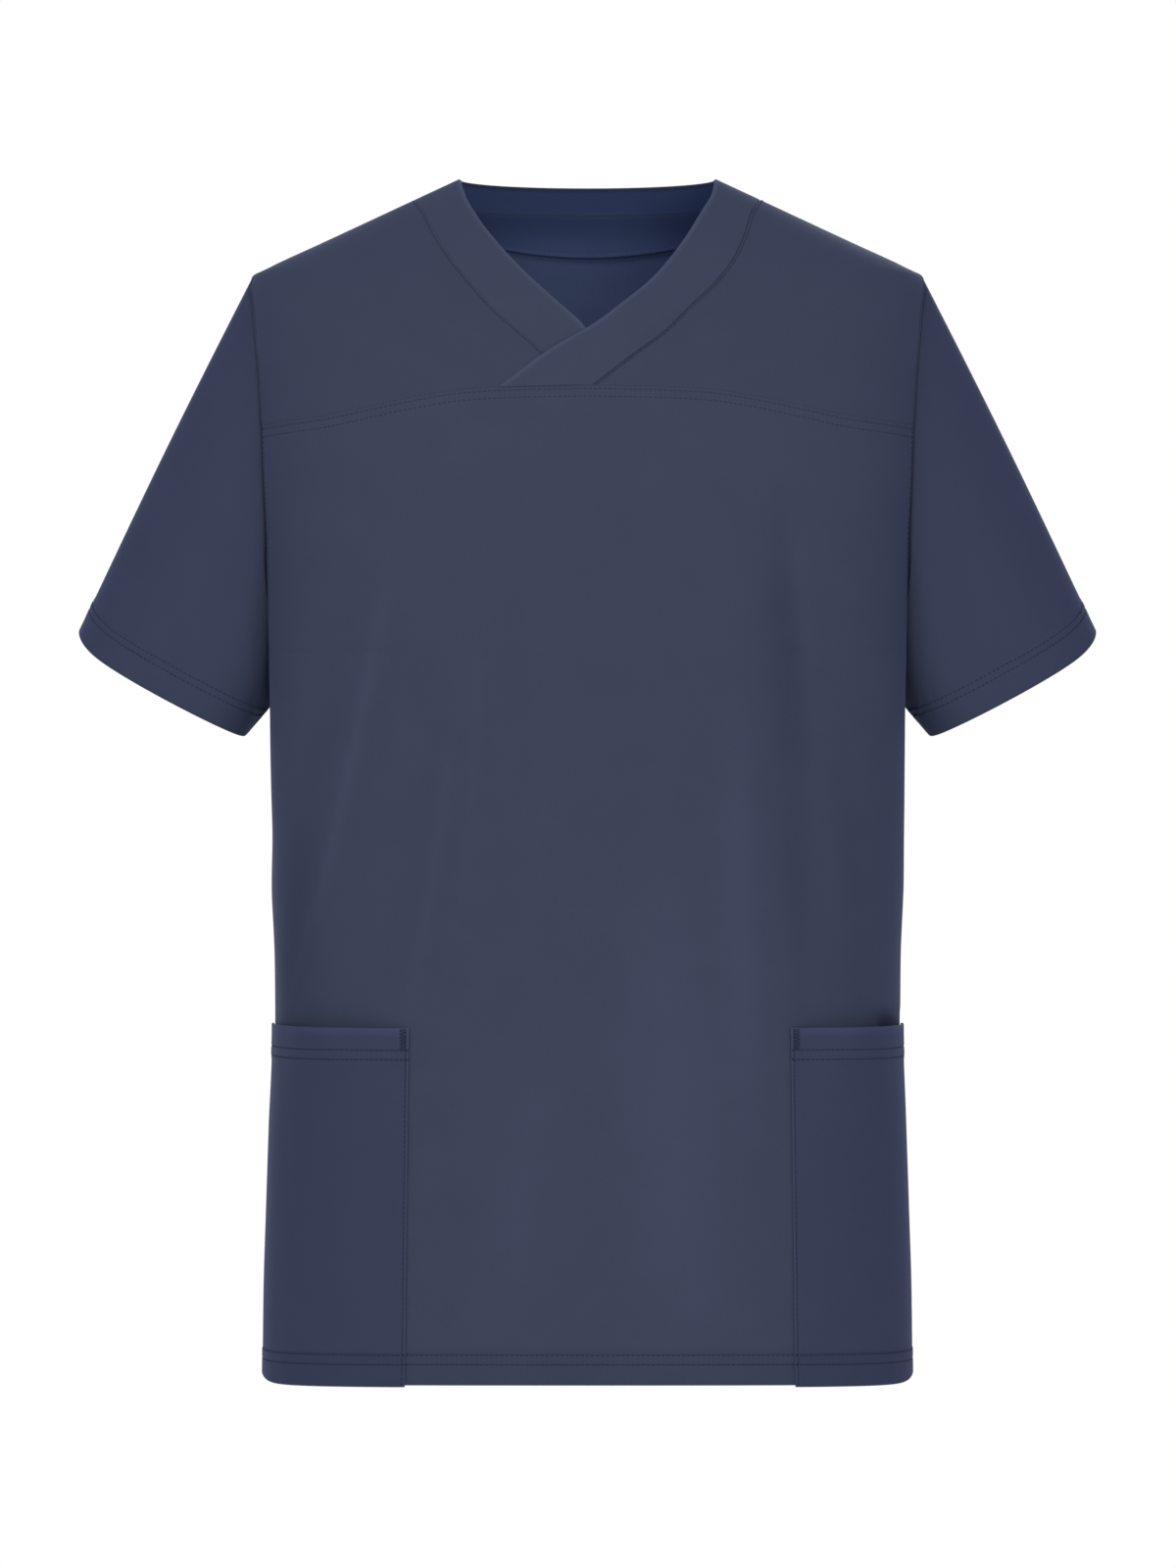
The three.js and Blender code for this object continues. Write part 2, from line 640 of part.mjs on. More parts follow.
// Band at the front. The right one is lifted where it crosses over the left one and its yoke.
function frontBand(band, left) {
  const inPlace = left ? mirrored : (spot) => spot;
  const places = shares(STEPS.yokeSide).map((along) => shares(STEPS.band).map(
    (across) => inPlace(mixPlaces(band.seam(along), band.edge(along), across)),
  ));
  const lift = (i, j) => {
    if (left) return 0;
    const crossing = smooth((i / STEPS.yokeSide - CROSSING.start) / CROSSING.ramp);
    const inward = smooth((j / STEPS.band) / CROSSING.inward);
    return (BAND_CLOTH + CROSSING_GAP) * crossing * inward;
  };
  const skins = skinsOver(places, BAND_CLOTH, lift);
  drawBack(skins, 'first', SEAM_GAP / 2);
  drawBack(skins, 'last', SEAM_GAP / 2);
  drawBack(skins, 'start', SEAM_GAP / 2);
  return wallBetween(skins);
}
function backBand() {
  const places = shares(STEPS.band).map((up) => shares(STEPS.neck).map(
    (across) => mixPlaces(backSeam(across), backRim(across), up),
  ));
  const skins = skinsOver(places, BAND_CLOTH);
  for (const edge of ['first', 'start', 'end']) drawBack(skins, edge, SEAM_GAP / 2);
  return wallBetween(skins);
}

function backFacing() {
  const places = shares(STEPS.facing).map((down) => shares(STEPS.neck).map(
    (across) => mixPlaces(backSeam(across), facingEdge(across), down),
  ));
  const skins = skinsOver(places, CLOTH, () => -(CLOTH + FACING_GAP));
  for (const edge of ['first', 'start', 'end']) drawBack(skins, edge, SEAM_GAP);
  return wallBetween(skins);
}

// Pocket over the lower front, from the side seam to its stitched inner edge. Its points are
// those of the front, moved out, with one more column along the inner edge.
function pocket(side) {
  const edge = POCKET_EDGE[side];
  const left = side === 'left';
  const bottomZ = HEM.middleZ;
  const edgeAngle = (up) => {
    const x = mix(edge.bottomX, edge.topX, up);
    return angleAcross(x, mix(bottomZ, POCKET.topZ, up));
  };
  const narrowest = min(edgeAngle(0), edgeAngle(1));
  const columns = shares(STEPS.front).map((share) => PI * share);
  const inside = columns.filter((angle) => angle < narrowest - POCKET.leastColumn);
  const places = shares(STEPS.pocketHigh).map((up) => [...inside, edgeAngle(up)].map((angle) => {
    const drop = up === 0 ? POCKET.below : 0;
    const spot = place(angle, mix(hemPlace(angle).z, POCKET.topZ, up) - drop);
    spot.across = angle / edgeAngle(up);
    return left ? { ...spot, ...mirrored(spot) } : spot;
  }));
  const lift = (i, j, spot) => {
    const bulge = sin(PI * spot.across ** POCKET.gapeAt) ** 2;
    const fade = 1 - smooth((POCKET.topZ - spot.z) / POCKET.gapeDepth);
    return CLOTH + LAYER_GAP + POCKET.gape * bulge * fade;
  };
  const skins = skinsOver(places, CLOTH, lift);
  drawBack(skins, 'start', SEAM_GAP / 2);
  return wallBetween(skins);
}

// Turns round the sleeve, the same as on the panels that it joins
function sleeveTurns() {
  const yokeTurns = shares(STEPS.yokeSide).map((share) => mix(0, YOKE_TURN, share));
  const frontTurns = shares(STEPS.frontSide).map((share) => mix(YOKE_TURN, PI, share));
  const backTurns = shares(STEPS.backSide).map(backTurn);
  return [...yokeTurns.slice(0, -1), ...frontTurns.slice(0, -1), ...backTurns.slice(0, -1)];
}

function sleeve(left) {
  const turns = sleeveTurns();
  const outer = [];
  const inner = [];
  for (const along of shares(STEPS.sleeve)) {
    const row = turns.map((turn) => {
      const point = sleevePoint(turn, along);
      if (along > 0) return { point, normal: sleeveNormal(turn, along), stretch: 1 };
      const edge = armholeEdge(turn);
      const down = sleevePoint(turn, SLEEVE_START).sub(point).setLength(SEAM_GAP);
      point.add(down).addScaledVector(edge.onBody, UNDERARM_GAP * edge.fold);
      return { point, normal: edge.normal, stretch: edge.stretch };
    });
    outer.push(row.map(({ point }) => point));
    inner.push(row.map(({ point, normal, stretch }) => (
      point.clone().addScaledVector(normal, -CLOTH * stretch)
    )));
  }
  if (left) {
    for (const point of [...outer.flat(), ...inner.flat()]) point.x = -point.x;
  }
  return wallBetween({ outer, inner }, true);
}

function cloth(name, geometry, colour) {
  const material = new THREE.MeshStandardMaterial({ color: colour, roughness: 0.85, metalness: 0 });
  const mesh = new THREE.Mesh(geometry, material);
  mesh.name = name;
  return mesh;
}

const scrubTop = new THREE.Group();
scrubTop.add(
  cloth('front_body', frontBody(), COLOURS.front),
  cloth('back_body', backBody(), COLOURS.back),
  cloth('front_yoke_right', yoke(rightBand, false), COLOURS.yoke),
  cloth('front_yoke_left', yoke(leftBand, true), COLOURS.yoke),
  cloth('neckband_right', frontBand(rightBand, false), COLOURS.band),
  cloth('neckband_left', frontBand(leftBand, true), COLOURS.band),
  cloth('neckband_back', backBand(), COLOURS.band),
  cloth('back_neck_facing', backFacing(), COLOURS.inside),
  cloth('sleeve_right', sleeve(false), COLOURS.sleeve),
  cloth('sleeve_left', sleeve(true), COLOURS.sleeve),
  cloth('pocket_right', pocket('right'), COLOURS.pocket),
  cloth('pocket_left', pocket('left'), COLOURS.pocket),
);

export default scrubTop;
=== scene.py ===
# %% [markdown]
# # A scrub top, dressed in its cloth
#
# The garment is a short-sleeved pull-on top in slate-navy twill. The fixed frame, loaded first,
# holds one plain solid for each cut piece. Each step below replaces one of them with a finer
# shell of the same form, and then adds what a sewing machine adds: pressed seams, doubled hems
# and rows of stitches. Lengths are worked in millimetres and turned into metres at the end.

import math

import bpy
import numpy as np
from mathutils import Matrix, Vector


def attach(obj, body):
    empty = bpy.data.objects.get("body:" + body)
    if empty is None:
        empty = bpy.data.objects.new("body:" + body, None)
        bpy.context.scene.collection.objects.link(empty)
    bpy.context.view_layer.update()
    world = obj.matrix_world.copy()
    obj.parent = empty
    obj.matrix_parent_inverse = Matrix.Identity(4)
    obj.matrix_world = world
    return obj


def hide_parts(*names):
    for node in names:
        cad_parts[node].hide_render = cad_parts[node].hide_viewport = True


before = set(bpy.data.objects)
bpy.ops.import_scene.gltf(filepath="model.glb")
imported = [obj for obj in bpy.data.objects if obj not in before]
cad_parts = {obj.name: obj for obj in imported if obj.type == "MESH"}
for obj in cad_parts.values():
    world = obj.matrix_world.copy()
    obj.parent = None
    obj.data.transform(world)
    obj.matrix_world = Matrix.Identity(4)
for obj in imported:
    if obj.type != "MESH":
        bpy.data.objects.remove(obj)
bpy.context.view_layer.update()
print("cut pieces in the frame:", sorted(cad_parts))

# %% [markdown]
# ## The camera
# The photograph was taken straight from the front with a long lens, so both shoulders, both
# pockets and the hem look nearly flat. A camera five metres away repeats that. Its height is that
# of the middle of the picture, and the picture is 960 mm high at the distance of the garment.

# %% Camera
MM = 0.001
CAMERA_DISTANCE = 5000
VIEW_MIDDLE = (0.3, -370.8)
VIEW_HEIGHT = 960
SENSOR = 32

camera_data = bpy.data.cameras.new("camera")
camera = bpy.data.objects.new("camera", camera_data)
bpy.context.scene.collection.objects.link(camera)
camera.location = (VIEW_MIDDLE[0] * MM, -CAMERA_DISTANCE * MM, VIEW_MIDDLE[1] * MM)
camera.rotation_euler = (math.radians(90), 0, 0)
camera_data.sensor_fit = "VERTICAL"
camera_data.sensor_height = SENSOR
camera_data.sensor_width = SENSOR
camera_data.lens = SENSOR * CAMERA_DISTANCE / VIEW_HEIGHT
camera_data.clip_end = 60
bpy.context.scene.camera = camera
print("lens:", round(camera_data.lens, 1), "mm")

# %% [markdown]
# ## The body's form
# A worn top is a tube whose section changes with height. Each row of the table is one level:
# half its width, its depth before and behind the side seams, how far back those seams lie and how
# square its corners are. A smooth curve through each column gives every level between them.
# Tables like this are easier to read and to change than sculpted points, and every cloth piece
# can ask the same form where it lies.

# %% Sections by height
SECTION_COLUMNS = ("z", "half", "front", "back", "side", "square", "pinch", "ease")
SECTIONS = (
    (-745, 196.9, 120, 115, 0, 3.0, 0, 0),
    (-680, 196.2, 119.5, 113, 0, 3.0, 0, 0),
    (-630, 194.7, 118.5, 110.5, 0, 3.0, 0, 0),
    (-575, 192.9, 117, 107, 0, 3.0, 0, 0),
    (-517, 191.1, 115.5, 102, 0, 3.0, 0, 0),
    (-480, 191.3, 115, 100, 0, 3.0, 0, 0),
    (-440, 192.9, 115, 99.5, 0, 3.0, 0, 0),
    (-390, 195.2, 116.5, 101.5, 0.5, 3.1, 4, 0),
    (-350, 196.8, 118.5, 105, 1, 3.2, 13, 0),
    (-320, 197.6, 120, 108, 1.5, 3.3, 24, 0),
    (-292, 198.4, 121.5, 111, 2, 3.3, 29, 0),
    (-260, 198.6, 122.5, 113.5, 3, 3.3, 20, 0),
    (-228, 199.5, 123, 114.5, 3.5, 3.3, 10, 0),
    (-190, 202, 122.5, 114, 4, 3.3, 3, 0),
    (-155, 204, 119, 112, 5, 3.3, 0, 0),
    (-126, 206.5, 113, 109, 6.5, 3.2, 0, 3),
    (-90, 209, 100, 104, 8, 3.0, 0, 8),
    (-70, 209, 90, 100, 8.7, 2.85, 0, 13),
    (-61, 205.8, 84.5, 98, 9, 2.75, 0, 15),
    (-54, 193.8, 80, 96, 9, 2.7, 0, 14.5),
    (-41, 166.1, 70.5, 91, 9.5, 2.6, 0, 12),
    (-28, 138.5, 58, 85, 10, 2.5, 0, 8),
    (-16, 113, 46, 74.5, 10, 2.45, 0, 4),
    (-8, 96, 37, 63, 10, 2.4, 0, 1.5),
    (0, 79, 25, 48, 10, 2.4, 0, 0),
)
print("sections:", len(SECTIONS))

# %% [markdown]
# A curve that overshoots its table would give the cloth a bulge that nobody drew. Taking each
# slope as the harmonic mean of its neighbours keeps the curve inside its rows.

# %% Curves through a table
PI = math.pi


def mix(a, b, share):
    return a + (b - a) * share


def smooth(value):
    share = np.clip(value, 0, 1)
    return share * share * (3 - 2 * share)


def curve_through(xs, ys):
    xs, ys = np.asarray(xs, float), np.asarray(ys, float)
    slopes = np.diff(ys) / np.diff(xs)
    before, after = slopes[:-1], slopes[1:]
    same = before * after > 0
    inner = np.where(same, 2 * before * after / np.where(same, before + after, 1), 0)
    tangents = np.concatenate([slopes[:1], inner, slopes[-1:]])

    def curve(x):
        at = np.clip(x, xs[0], xs[-1])
        i = np.clip(np.searchsorted(xs, at) - 1, 0, len(xs) - 2)
        step = xs[i + 1] - xs[i]
        s = (at - xs[i]) / step
        rise = s * s * (3 - 2 * s)
        leave = s * (1 - s) ** 2 * step * tangents[i]
        arrive = s * s * (s - 1) * step * tangents[i + 1]
        return ys[i] + (ys[i + 1] - ys[i]) * rise + leave + arrive

    return curve


print("halfway up a curve from 0 to 10:", float(curve_through((0, 1), (0, 10))(0.5)))

# %% The section at any height
section_table = np.array(SECTIONS, float)
section_curves = {
    name: curve_through(section_table[:, 0], section_table[:, k])
    for k, name in enumerate(SECTION_COLUMNS)
    if name != "z"
}


def section(name, z):
    return section_curves[name](z)


print("half width at the chest:", round(float(section("half", -250)), 1), "mm")

# %% [markdown]
# ## Folds
# Cloth that hangs from the shoulders falls in long soft folds, uneven in length, depth and
# spacing. Each is a ridge, or a trough where its height is negative, that fades out at both ends.
# A row of a table gives the face it is on, where it starts and ends on the front view, how far it
# bows to one side, its height and its width. The first table holds the large folds that the
# frame's solids have too. The next holds the finer creases that only the cloth shows, and one
# dent where the mouth of the right pocket pulls at the side. The back hangs freely from the
# shoulder blades, so its folds are longer and deeper.

# %% Large folds
# Columns: face, top x, top z, end x, end z, bow, height, width.
LARGE_FOLDS = (
    ("front", -118, -215, -181, -500, 3, 3.4, 13),
    ("front", -146, -250, -196, -440, 2, -2.6, 12),
    ("front", -62, -225, -114, -520, 5, 2.6, 15),
    ("front", -88, -280, -136, -505, 3, -2.2, 14),
    ("front", 106, -190, 125, -470, 2, -3.2, 13),
    ("front", 126, -215, 150, -500, 2, 2.6, 14),
    ("front", 84, -230, 98, -470, -2, 1.8, 14),
    ("back", -92, -140, -118, -400, -6, -3.2, 16),
    ("back", -128, -170, -150, -470, -4, 3.0, 15),
    ("back", 84, -150, 132, -430, 7, 3.2, 16),
    ("back", 56, -190, 84, -390, 4, -2.4, 14),
    ("back", 10, -340, -16, -620, -5, -3.0, 20),
    ("back", -38, -300, -58, -560, -4, 2.2, 17),
)
print("large folds:", len(LARGE_FOLDS))

# %% Fine creases
FINE_FOLDS = (
    ("front", -117, -225, -184, -512, 6, 2.4, 3.8),
    ("front", -109, -250, -150, -430, 5, -0.6, 5),
    ("front", -169, -380, -186, -575, 0, -3.6, 11),
    ("front", -62, -250, -76, -450, 2, 1.0, 3.6),
    ("front", -83, -335, -113, -525, 4.7, 1.3, 3.6),
    ("front", -72, -330, -98, -500, 4, -0.4, 5),
    ("front", 117, -215, 132, -560, 1, -2.2, 7),
    ("front", 113, -180, 123, -370, 1, -2.0, 7),
    ("front", 131, -250, 145, -530, 0, -1.1, 9),
    ("front", 90, -310, 98, -600, 0, 2.2, 13),
    ("front", 150, -330, 168, -500, 1, -0.7, 7),
    ("front", -20, -300, -34, -470, 3, 0.5, 12),
    ("front", 44, -400, 64, -745, -3, 2.4, 32),
    ("front", -30, -480, -52, -735, 2, 1.2, 24),
    ("back", -150, -120, -178, -260, 4, 1.6, 9),
    ("back", 148, -118, 176, -250, -4, 1.5, 9),
    ("back", -112, -200, -136, -360, 2, -1.3, 7),
    ("back", 104, -215, 128, -370, 3, -1.2, 7),
    ("back", -70, -260, -88, -470, -3, 1.2, 8),
    ("back", 42, -300, 52, -520, 3, 1.1, 9),
    ("back", 96, -420, 84, -640, 3, -1.2, 11),
    ("back", -104, -450, -92, -690, -3, 1.1, 10),
    ("back", 0, -100, -4, -230, 1, -0.7, 10),
)
MOUTH_DENT = (("front", 182, -506, 184, -534, 0, -7, 8),)
FRONT_FOLDS = FINE_FOLDS + MOUTH_DENT
print("fine creases:", len(FRONT_FOLDS))

# %% Height of the folds
FOLD_FADE = 0.3


def fold_height(folds, x, z, angle):
    """Height of all the folds together; they fade out towards the side seams."""
    over_front = np.sin(angle) > 0
    height = np.zeros(np.broadcast(x, z).shape)
    for face, top_x, top_z, end_x, end_z, bow, tall, width in folds:
        share = (z - top_z) / (end_z - top_z)
        middle = mix(top_x, end_x, share) + 4 * bow * share * (1 - share)
        ridge = tall * np.sin(PI * np.clip(share, 0, 1)) * np.exp(-(((x - middle) / width) ** 2))
        height = height + np.where(over_front == (face == "front"), ridge, 0)
    return height * smooth(np.abs(np.sin(angle)) / FOLD_FADE)


print("deepest fold:", min(fold[-2] for fold in LARGE_FOLDS + FRONT_FOLDS), "mm")

# %% [markdown]
# ## Any place on the body
# A place is an angle round the body and a height. The angle is 0 at the right side seam, a
# quarter turn at the middle of the front, half a turn at the left side seam and negative over the
# back. Arrays of places go in and arrays of points come out, so a whole panel is found at once.
# The pinch of a section draws its sides in under the arms, and the ease rounds the shoulders off
# before and behind their ridge.

# %% Points on the body
PINCH_REACH = 30
EASE_REACH = 0.7
EASE_AT_FRONT = 0.15
SLOPE_STEP = (1e-3, 0.2)


def plain_point(angle, z):
    """Points of the body without its folds."""
    across, along = np.cos(angle), np.sin(angle)
    power = section("square", z)
    reach = (np.abs(across) ** power + np.abs(along) ** power) ** (-1 / power)
    depth = np.where(along > 0, section("front", z), section("back", z))
    y = depth * reach * along
    drawn_in = section("pinch", z) * np.exp(-((y / PINCH_REACH) ** 2))
    at_face = np.where(along > 0, EASE_AT_FRONT, 1)
    eased = section("ease", z) * smooth(np.abs(along) / EASE_REACH) * at_face
    x = (section("half", z) - eased) * reach * across - np.sign(across) * drawn_in
    return np.stack(np.broadcast_arrays(x, section("side", z) - y, z), -1)


def unit(vectors):
    return vectors / np.maximum(np.linalg.norm(vectors, axis=-1, keepdims=True), 1e-12)


def normal_of(point_at, a, b):
    """Outward direction of a surface, from two short steps along it."""
    step_a, step_b = SLOPE_STEP
    along_a = point_at(a + step_a, b) - point_at(a - step_a, b)
    along_b = point_at(a, b + step_b) - point_at(a, b - step_b)
    return unit(np.cross(along_b, along_a))


def body_point(angle, z):
    """Points of the body with its large folds."""
    point = plain_point(angle, z)
    height = fold_height(LARGE_FOLDS, point[..., 0], z, angle)
    return point + height[..., None] * normal_of(plain_point, angle, z)


def body_normal(angle, z):
    return normal_of(body_point, angle, z)


print("middle of the chest:", np.round(body_point(PI / 2, -250.0), 1))

# %% Angle of a point on the front view
HALVINGS = 40


def angle_across(x, z):
    """Angle of the front point that lies x from the middle."""
    low = np.zeros(np.broadcast(x, z).shape)
    high = low + PI
    for _ in range(HALVINGS):
        angle = (low + high) / 2
        beyond = plain_point(angle, z)[..., 0] > x
        low, high = np.where(beyond, angle, low), np.where(beyond, high, angle)
    return (low + high) / 2


print("angle 100 mm right of the middle:", round(float(angle_across(100.0, -250.0)), 3))

# %% [markdown]
# ## Seam lines
# The pieces meet along lines on the form: the oval armhole, the arched yoke seam across the
# chest, the two edges of the neck band and the seams of the back neck. Each line is a function
# from a share of its length to a place, so two pieces that share a seam ask the same function and
# always meet.

# %% Armhole
ARMHOLE = {"top": -58, "wide": -170, "bottom": -292, "front": 60, "back": 62}
ARMHOLE_ROUNDNESS = {"upper": 2, "lower": 2.6}


def armhole_place(turn):
    """turn is 0 at the shoulder tip, a quarter at the front and a half at the underarm."""
    upper, forward = np.cos(turn) > 0, np.sin(turn) > 0
    power = 2 / np.where(upper, ARMHOLE_ROUNDNESS["upper"], ARMHOLE_ROUNDNESS["lower"])
    rise, reach = np.abs(np.cos(turn)) ** power, np.abs(np.sin(turn)) ** power
    z = mix(ARMHOLE["wide"], np.where(upper, ARMHOLE["top"], ARMHOLE["bottom"]), rise)
    depth = np.where(forward, section("front", z), section("back", z))
    along = reach * np.where(forward, ARMHOLE["front"], ARMHOLE["back"]) / depth
    square = section("square", z)
    across = (1 - along**square) ** (1 / square)
    return np.where(forward, 1, -1) * np.arctan2(along, across), z


print("armhole:", ARMHOLE["top"] - ARMHOLE["bottom"], "mm high")

# %% Yoke seam
# Columns: x, z.
YOKE_SEAM = (
    (0, -131.6),
    (40, -132.4),
    (72, -134),
    (103, -138.6),
    (131, -144.2),
    (160, -149.8),
    (197, -153.8),
)
YOKE_ROUNDS = 6
yoke_table = np.array(YOKE_SEAM, float)
yoke_height = curve_through(yoke_table[:, 0], yoke_table[:, 1])


def yoke_place(angle):
    """The seam is drawn by width and height, so each round moves z to the point's own width."""
    z = np.full(np.shape(angle), float(YOKE_SEAM[0][1]))
    for _ in range(YOKE_ROUNDS):
        z = yoke_height(np.abs(plain_point(angle, z)[..., 0]))
    return angle, z


def turn_at_yoke():
    low, high = 0.25 * PI, 0.6 * PI
    for _ in range(HALVINGS):
        turn = (low + high) / 2
        angle, z = armhole_place(turn)
        above = z > yoke_place(angle)[1]
        low, high = (turn, high) if above else (low, turn)
    return (low + high) / 2


YOKE_TURN = turn_at_yoke()
print("yoke meets the armhole at", np.round(plain_point(*armhole_place(YOKE_TURN)), 1))

# %% [markdown]
# The neck band lies between a seam and a free edge. Both are drawn on the front view, from the
# shoulder's ridge down to the crossing, and are then read as places on the body.

# %% Neck band lines
# Columns: seam x, seam z, edge x, edge z.
RIGHT_BAND = (
    (106, -12.7, 79, 0),
    (100.1, -22.5, 77, -9.7),
    (95.2, -37.8, 69.5, -23.3),
    (88.3, -53, 58, -42.5),
    (78, -67, 43.4, -61.5),
    (63, -82, 25, -79),
    (46, -99, 4.5, -95),
    (26, -114, -23, -111),
    (3.5, -131.6, -52.7, -132.9),
)
LEFT_BAND = (
    (106, -12.7, 79, 0),
    (99, -22.5, 76, -10.5),
    (92.2, -36.5, 67.6, -26),
    (82.5, -52.5, 53.5, -45),
    (70.5, -68, 38, -62),
    (56, -85.2, 20, -79),
    (41, -98.5, 3, -95),
    (26.5, -112, -5, -108),
    (12, -131.6, 8, -131.6),
)
RIDGE_START = 1e-6


def band_lines(rows):
    table = np.array(rows, float)
    table[0, 0] = section("half", table[0, 1]) + RIDGE_START
    table[0, 2] = section("half", table[0, 3]) + RIDGE_START
    last = len(rows) - 1
    stations = np.arange(last + 1)

    def line(column):
        across = curve_through(stations, table[:, column])
        height = curve_through(stations, table[:, column + 1])

        def at(share):
            z = height(np.asarray(share) * last)
            return angle_across(across(np.asarray(share) * last), z), z

        return at

    return {"seam": line(0), "edge": line(2)}


right_band_lines = band_lines(RIGHT_BAND)
left_band_lines = band_lines(LEFT_BAND)
print("band at the shoulder:", RIGHT_BAND[0][0] - RIGHT_BAND[0][2], "mm wide")

# %% Back neck and shoulder lines
NECK_SEAM = RIGHT_BAND[0][1]
BACK_RIM_DIP = 1.8
BACK_SEAM_DIP = 3.6
FACING = {"shoulder": -24, "middle": -41.5, "roundness": 5}


def back_rim(share):
    return -PI * share, -BACK_RIM_DIP * np.sin(PI * share) ** 2


def back_seam(share):
    return -PI * share, NECK_SEAM - BACK_SEAM_DIP * np.sin(PI * share) ** 2


def facing_edge(share):
    drop = np.abs(np.sin(PI * share)) ** FACING["roundness"]
    return -PI * share, mix(FACING["shoulder"], FACING["middle"], drop)


def shoulder_line(share):
    return np.zeros(np.shape(share)), mix(ARMHOLE["top"], NECK_SEAM, share)


print("facing:", FACING["shoulder"] - FACING["middle"], "mm deeper in the middle")

# %% Hem lines
HEM_MIDDLE = -729.5
HEM_SIDE = -731.9
HEM_CORNER = {"rise": 4.8, "reach": 3.4, "span": 11}


def corner_rise(angle, above_hem):
    """The hem turns up a little at both sides, but its rows of stitches run straight on."""
    inward = section("half", HEM_SIDE) - np.abs(plain_point(angle, HEM_SIDE)[..., 0])
    rise = HEM_CORNER["rise"] * np.exp(-inward / HEM_CORNER["reach"])
    return rise * (1 - smooth(above_hem / HEM_CORNER["span"]))


def hem_height(angle):
    return mix(HEM_SIDE, HEM_MIDDLE, smooth(np.sin(angle) ** 2))


def back_hem_height(angle):
    return np.full(np.shape(angle), HEM_SIDE)


print("hem dips", round(HEM_MIDDLE - HEM_SIDE, 1), "mm at the sides")

# %% [markdown]
# A sleeve runs almost straight from the armhole's oval to a tilted cuff. The cuff hangs a little
# lower in front than behind, its two ends are soft corners, and the half that lies beside the
# body is squarer than an oval. Along the armhole the body and the sleeve bend towards each other,
# so both take one normal from halfway between them.

# %% Sleeve form
CUFF = {"x": 261.8, "y": 6, "z": -311.5, "slope": 28.95, "radius": 60, "depth": 60, "sag": 3.7}
CUFF_CORNERS = {"outer": 7.0, "inner": 1.6, "reach": 9}
SLEEVE_BULGE = 1.6
SLEEVE_SQUARE = 3.6
SLEEVE_READ = 0.01


def sleeve_point(turn, along):
    """turn goes round like the armhole's, and along is 0 at the seam and 1 at the cuff."""
    slope = math.radians(CUFF["slope"])
    outward = np.array([math.cos(slope), 0, math.sin(slope)])
    down = np.array([math.sin(slope), 0, -math.cos(slope)])
    cos, sin = np.cos(turn)[..., None], np.sin(turn)[..., None]
    middle = np.array([CUFF["x"], CUFF["y"], CUFF["z"]])
    forward = np.array([0, -CUFF["depth"], 0])
    corner = np.where(cos > 0, CUFF_CORNERS["outer"], CUFF_CORNERS["inner"])
    raised = corner * np.exp(-CUFF["radius"] * (1 - np.abs(cos)) / CUFF_CORNERS["reach"])
    power = np.where(cos > 0, 2, SLEEVE_SQUARE)
    reach = (np.abs(cos) ** power + np.abs(sin) ** power) ** (-1 / power)
    cuff = middle + reach * sin * forward + CUFF["radius"] * reach * cos * outward
    cuff = cuff + (CUFF["sag"] * sin - raised) * down
    seam = body_point(*armhole_place(turn))
    along = np.asarray(along)[..., None]
    bulge = SLEEVE_BULGE * np.sin(PI * along) * np.clip(cos, 0, 1)
    return seam + (cuff - seam) * along + bulge * outward


def sleeve_normal(turn, along):
    step = SLOPE_STEP[0]
    around = sleeve_point(turn + step, along) - sleeve_point(turn - step, along)
    down = sleeve_point(turn, along + step) - sleeve_point(turn, along - step)
    return unit(np.cross(around, down))


def bend_normal(turn):
    """Halfway between the body's and the sleeve's normals along the armhole."""
    seam = armhole_place(turn)
    return unit(body_normal(*seam) + sleeve_normal(turn, np.full(np.shape(turn), SLEEVE_READ)))


print("cuff at the shoulder side:", np.round(sleeve_point(np.array(0.0), 1.0), 1))

# %% [markdown]
# ## From a grid of points to a piece of cloth
# Each panel is a grid of points, finer beside its seams and stitch rows, where the surface turns
# sharply, and wider in between. Distances from its edges are measured along the grid itself, as
# a tailor measures from the cut edge.

# %% Grid spacing
GROOVE_OFFSETS = (-2.2, -1.2, -0.7, -0.35, 0, 0.35, 0.7, 1.2, 2.2)
ROLL_OFFSETS = (0, 0.2, 0.5, 0.9, 1.4, 2.0)
CLOSEST = 0.12


def spaced(total, step, low_marks=(), high_marks=(), low_roll=False, high_roll=False):
    """Shares from 0 to 1 of a length, with finer steps beside marks measured from either end."""
    fine = [m + o for m in low_marks for o in GROOVE_OFFSETS]
    fine += [total - m + o for m in high_marks for o in GROOVE_OFFSETS]
    fine += list(ROLL_OFFSETS) if low_roll else [0]
    fine += [total - o for o in ROLL_OFFSETS] if high_roll else [total]
    fine = np.unique(np.round([f for f in fine if 0 <= f <= total], 3))
    places = [fine[0]]
    for value in fine[1:]:
        room = value - places[-1]
        if room < CLOSEST:
            continue
        count = max(1, int(round(room / step)))
        places += list(places[-1] + room * (np.arange(count) + 1) / count)
    places[-1] = total
    return np.array(places) / total


print("steps on 100 mm with one row of stitches:", len(spaced(100, 4, low_marks=(10,))) - 1)

# %% Distances along a grid
def lengths_along(points, axis):
    steps = np.linalg.norm(np.diff(points, axis=axis), axis=-1)
    zero = np.zeros_like(np.take(steps, [0], axis=axis))
    return np.concatenate([zero, np.cumsum(steps, axis=axis)], axis=axis)


def edge_distances(points):
    """Distance of each point from the first and last row and from the first and last column."""
    up, across = lengths_along(points, 0), lengths_along(points, 1)
    return {
        "bottom": np.broadcast_to(up[:, up.shape[1] // 2, None], up.shape),
        "top": up[-1:] - up,
        "start": across,
        "end": across[:, -1:] - across,
    }


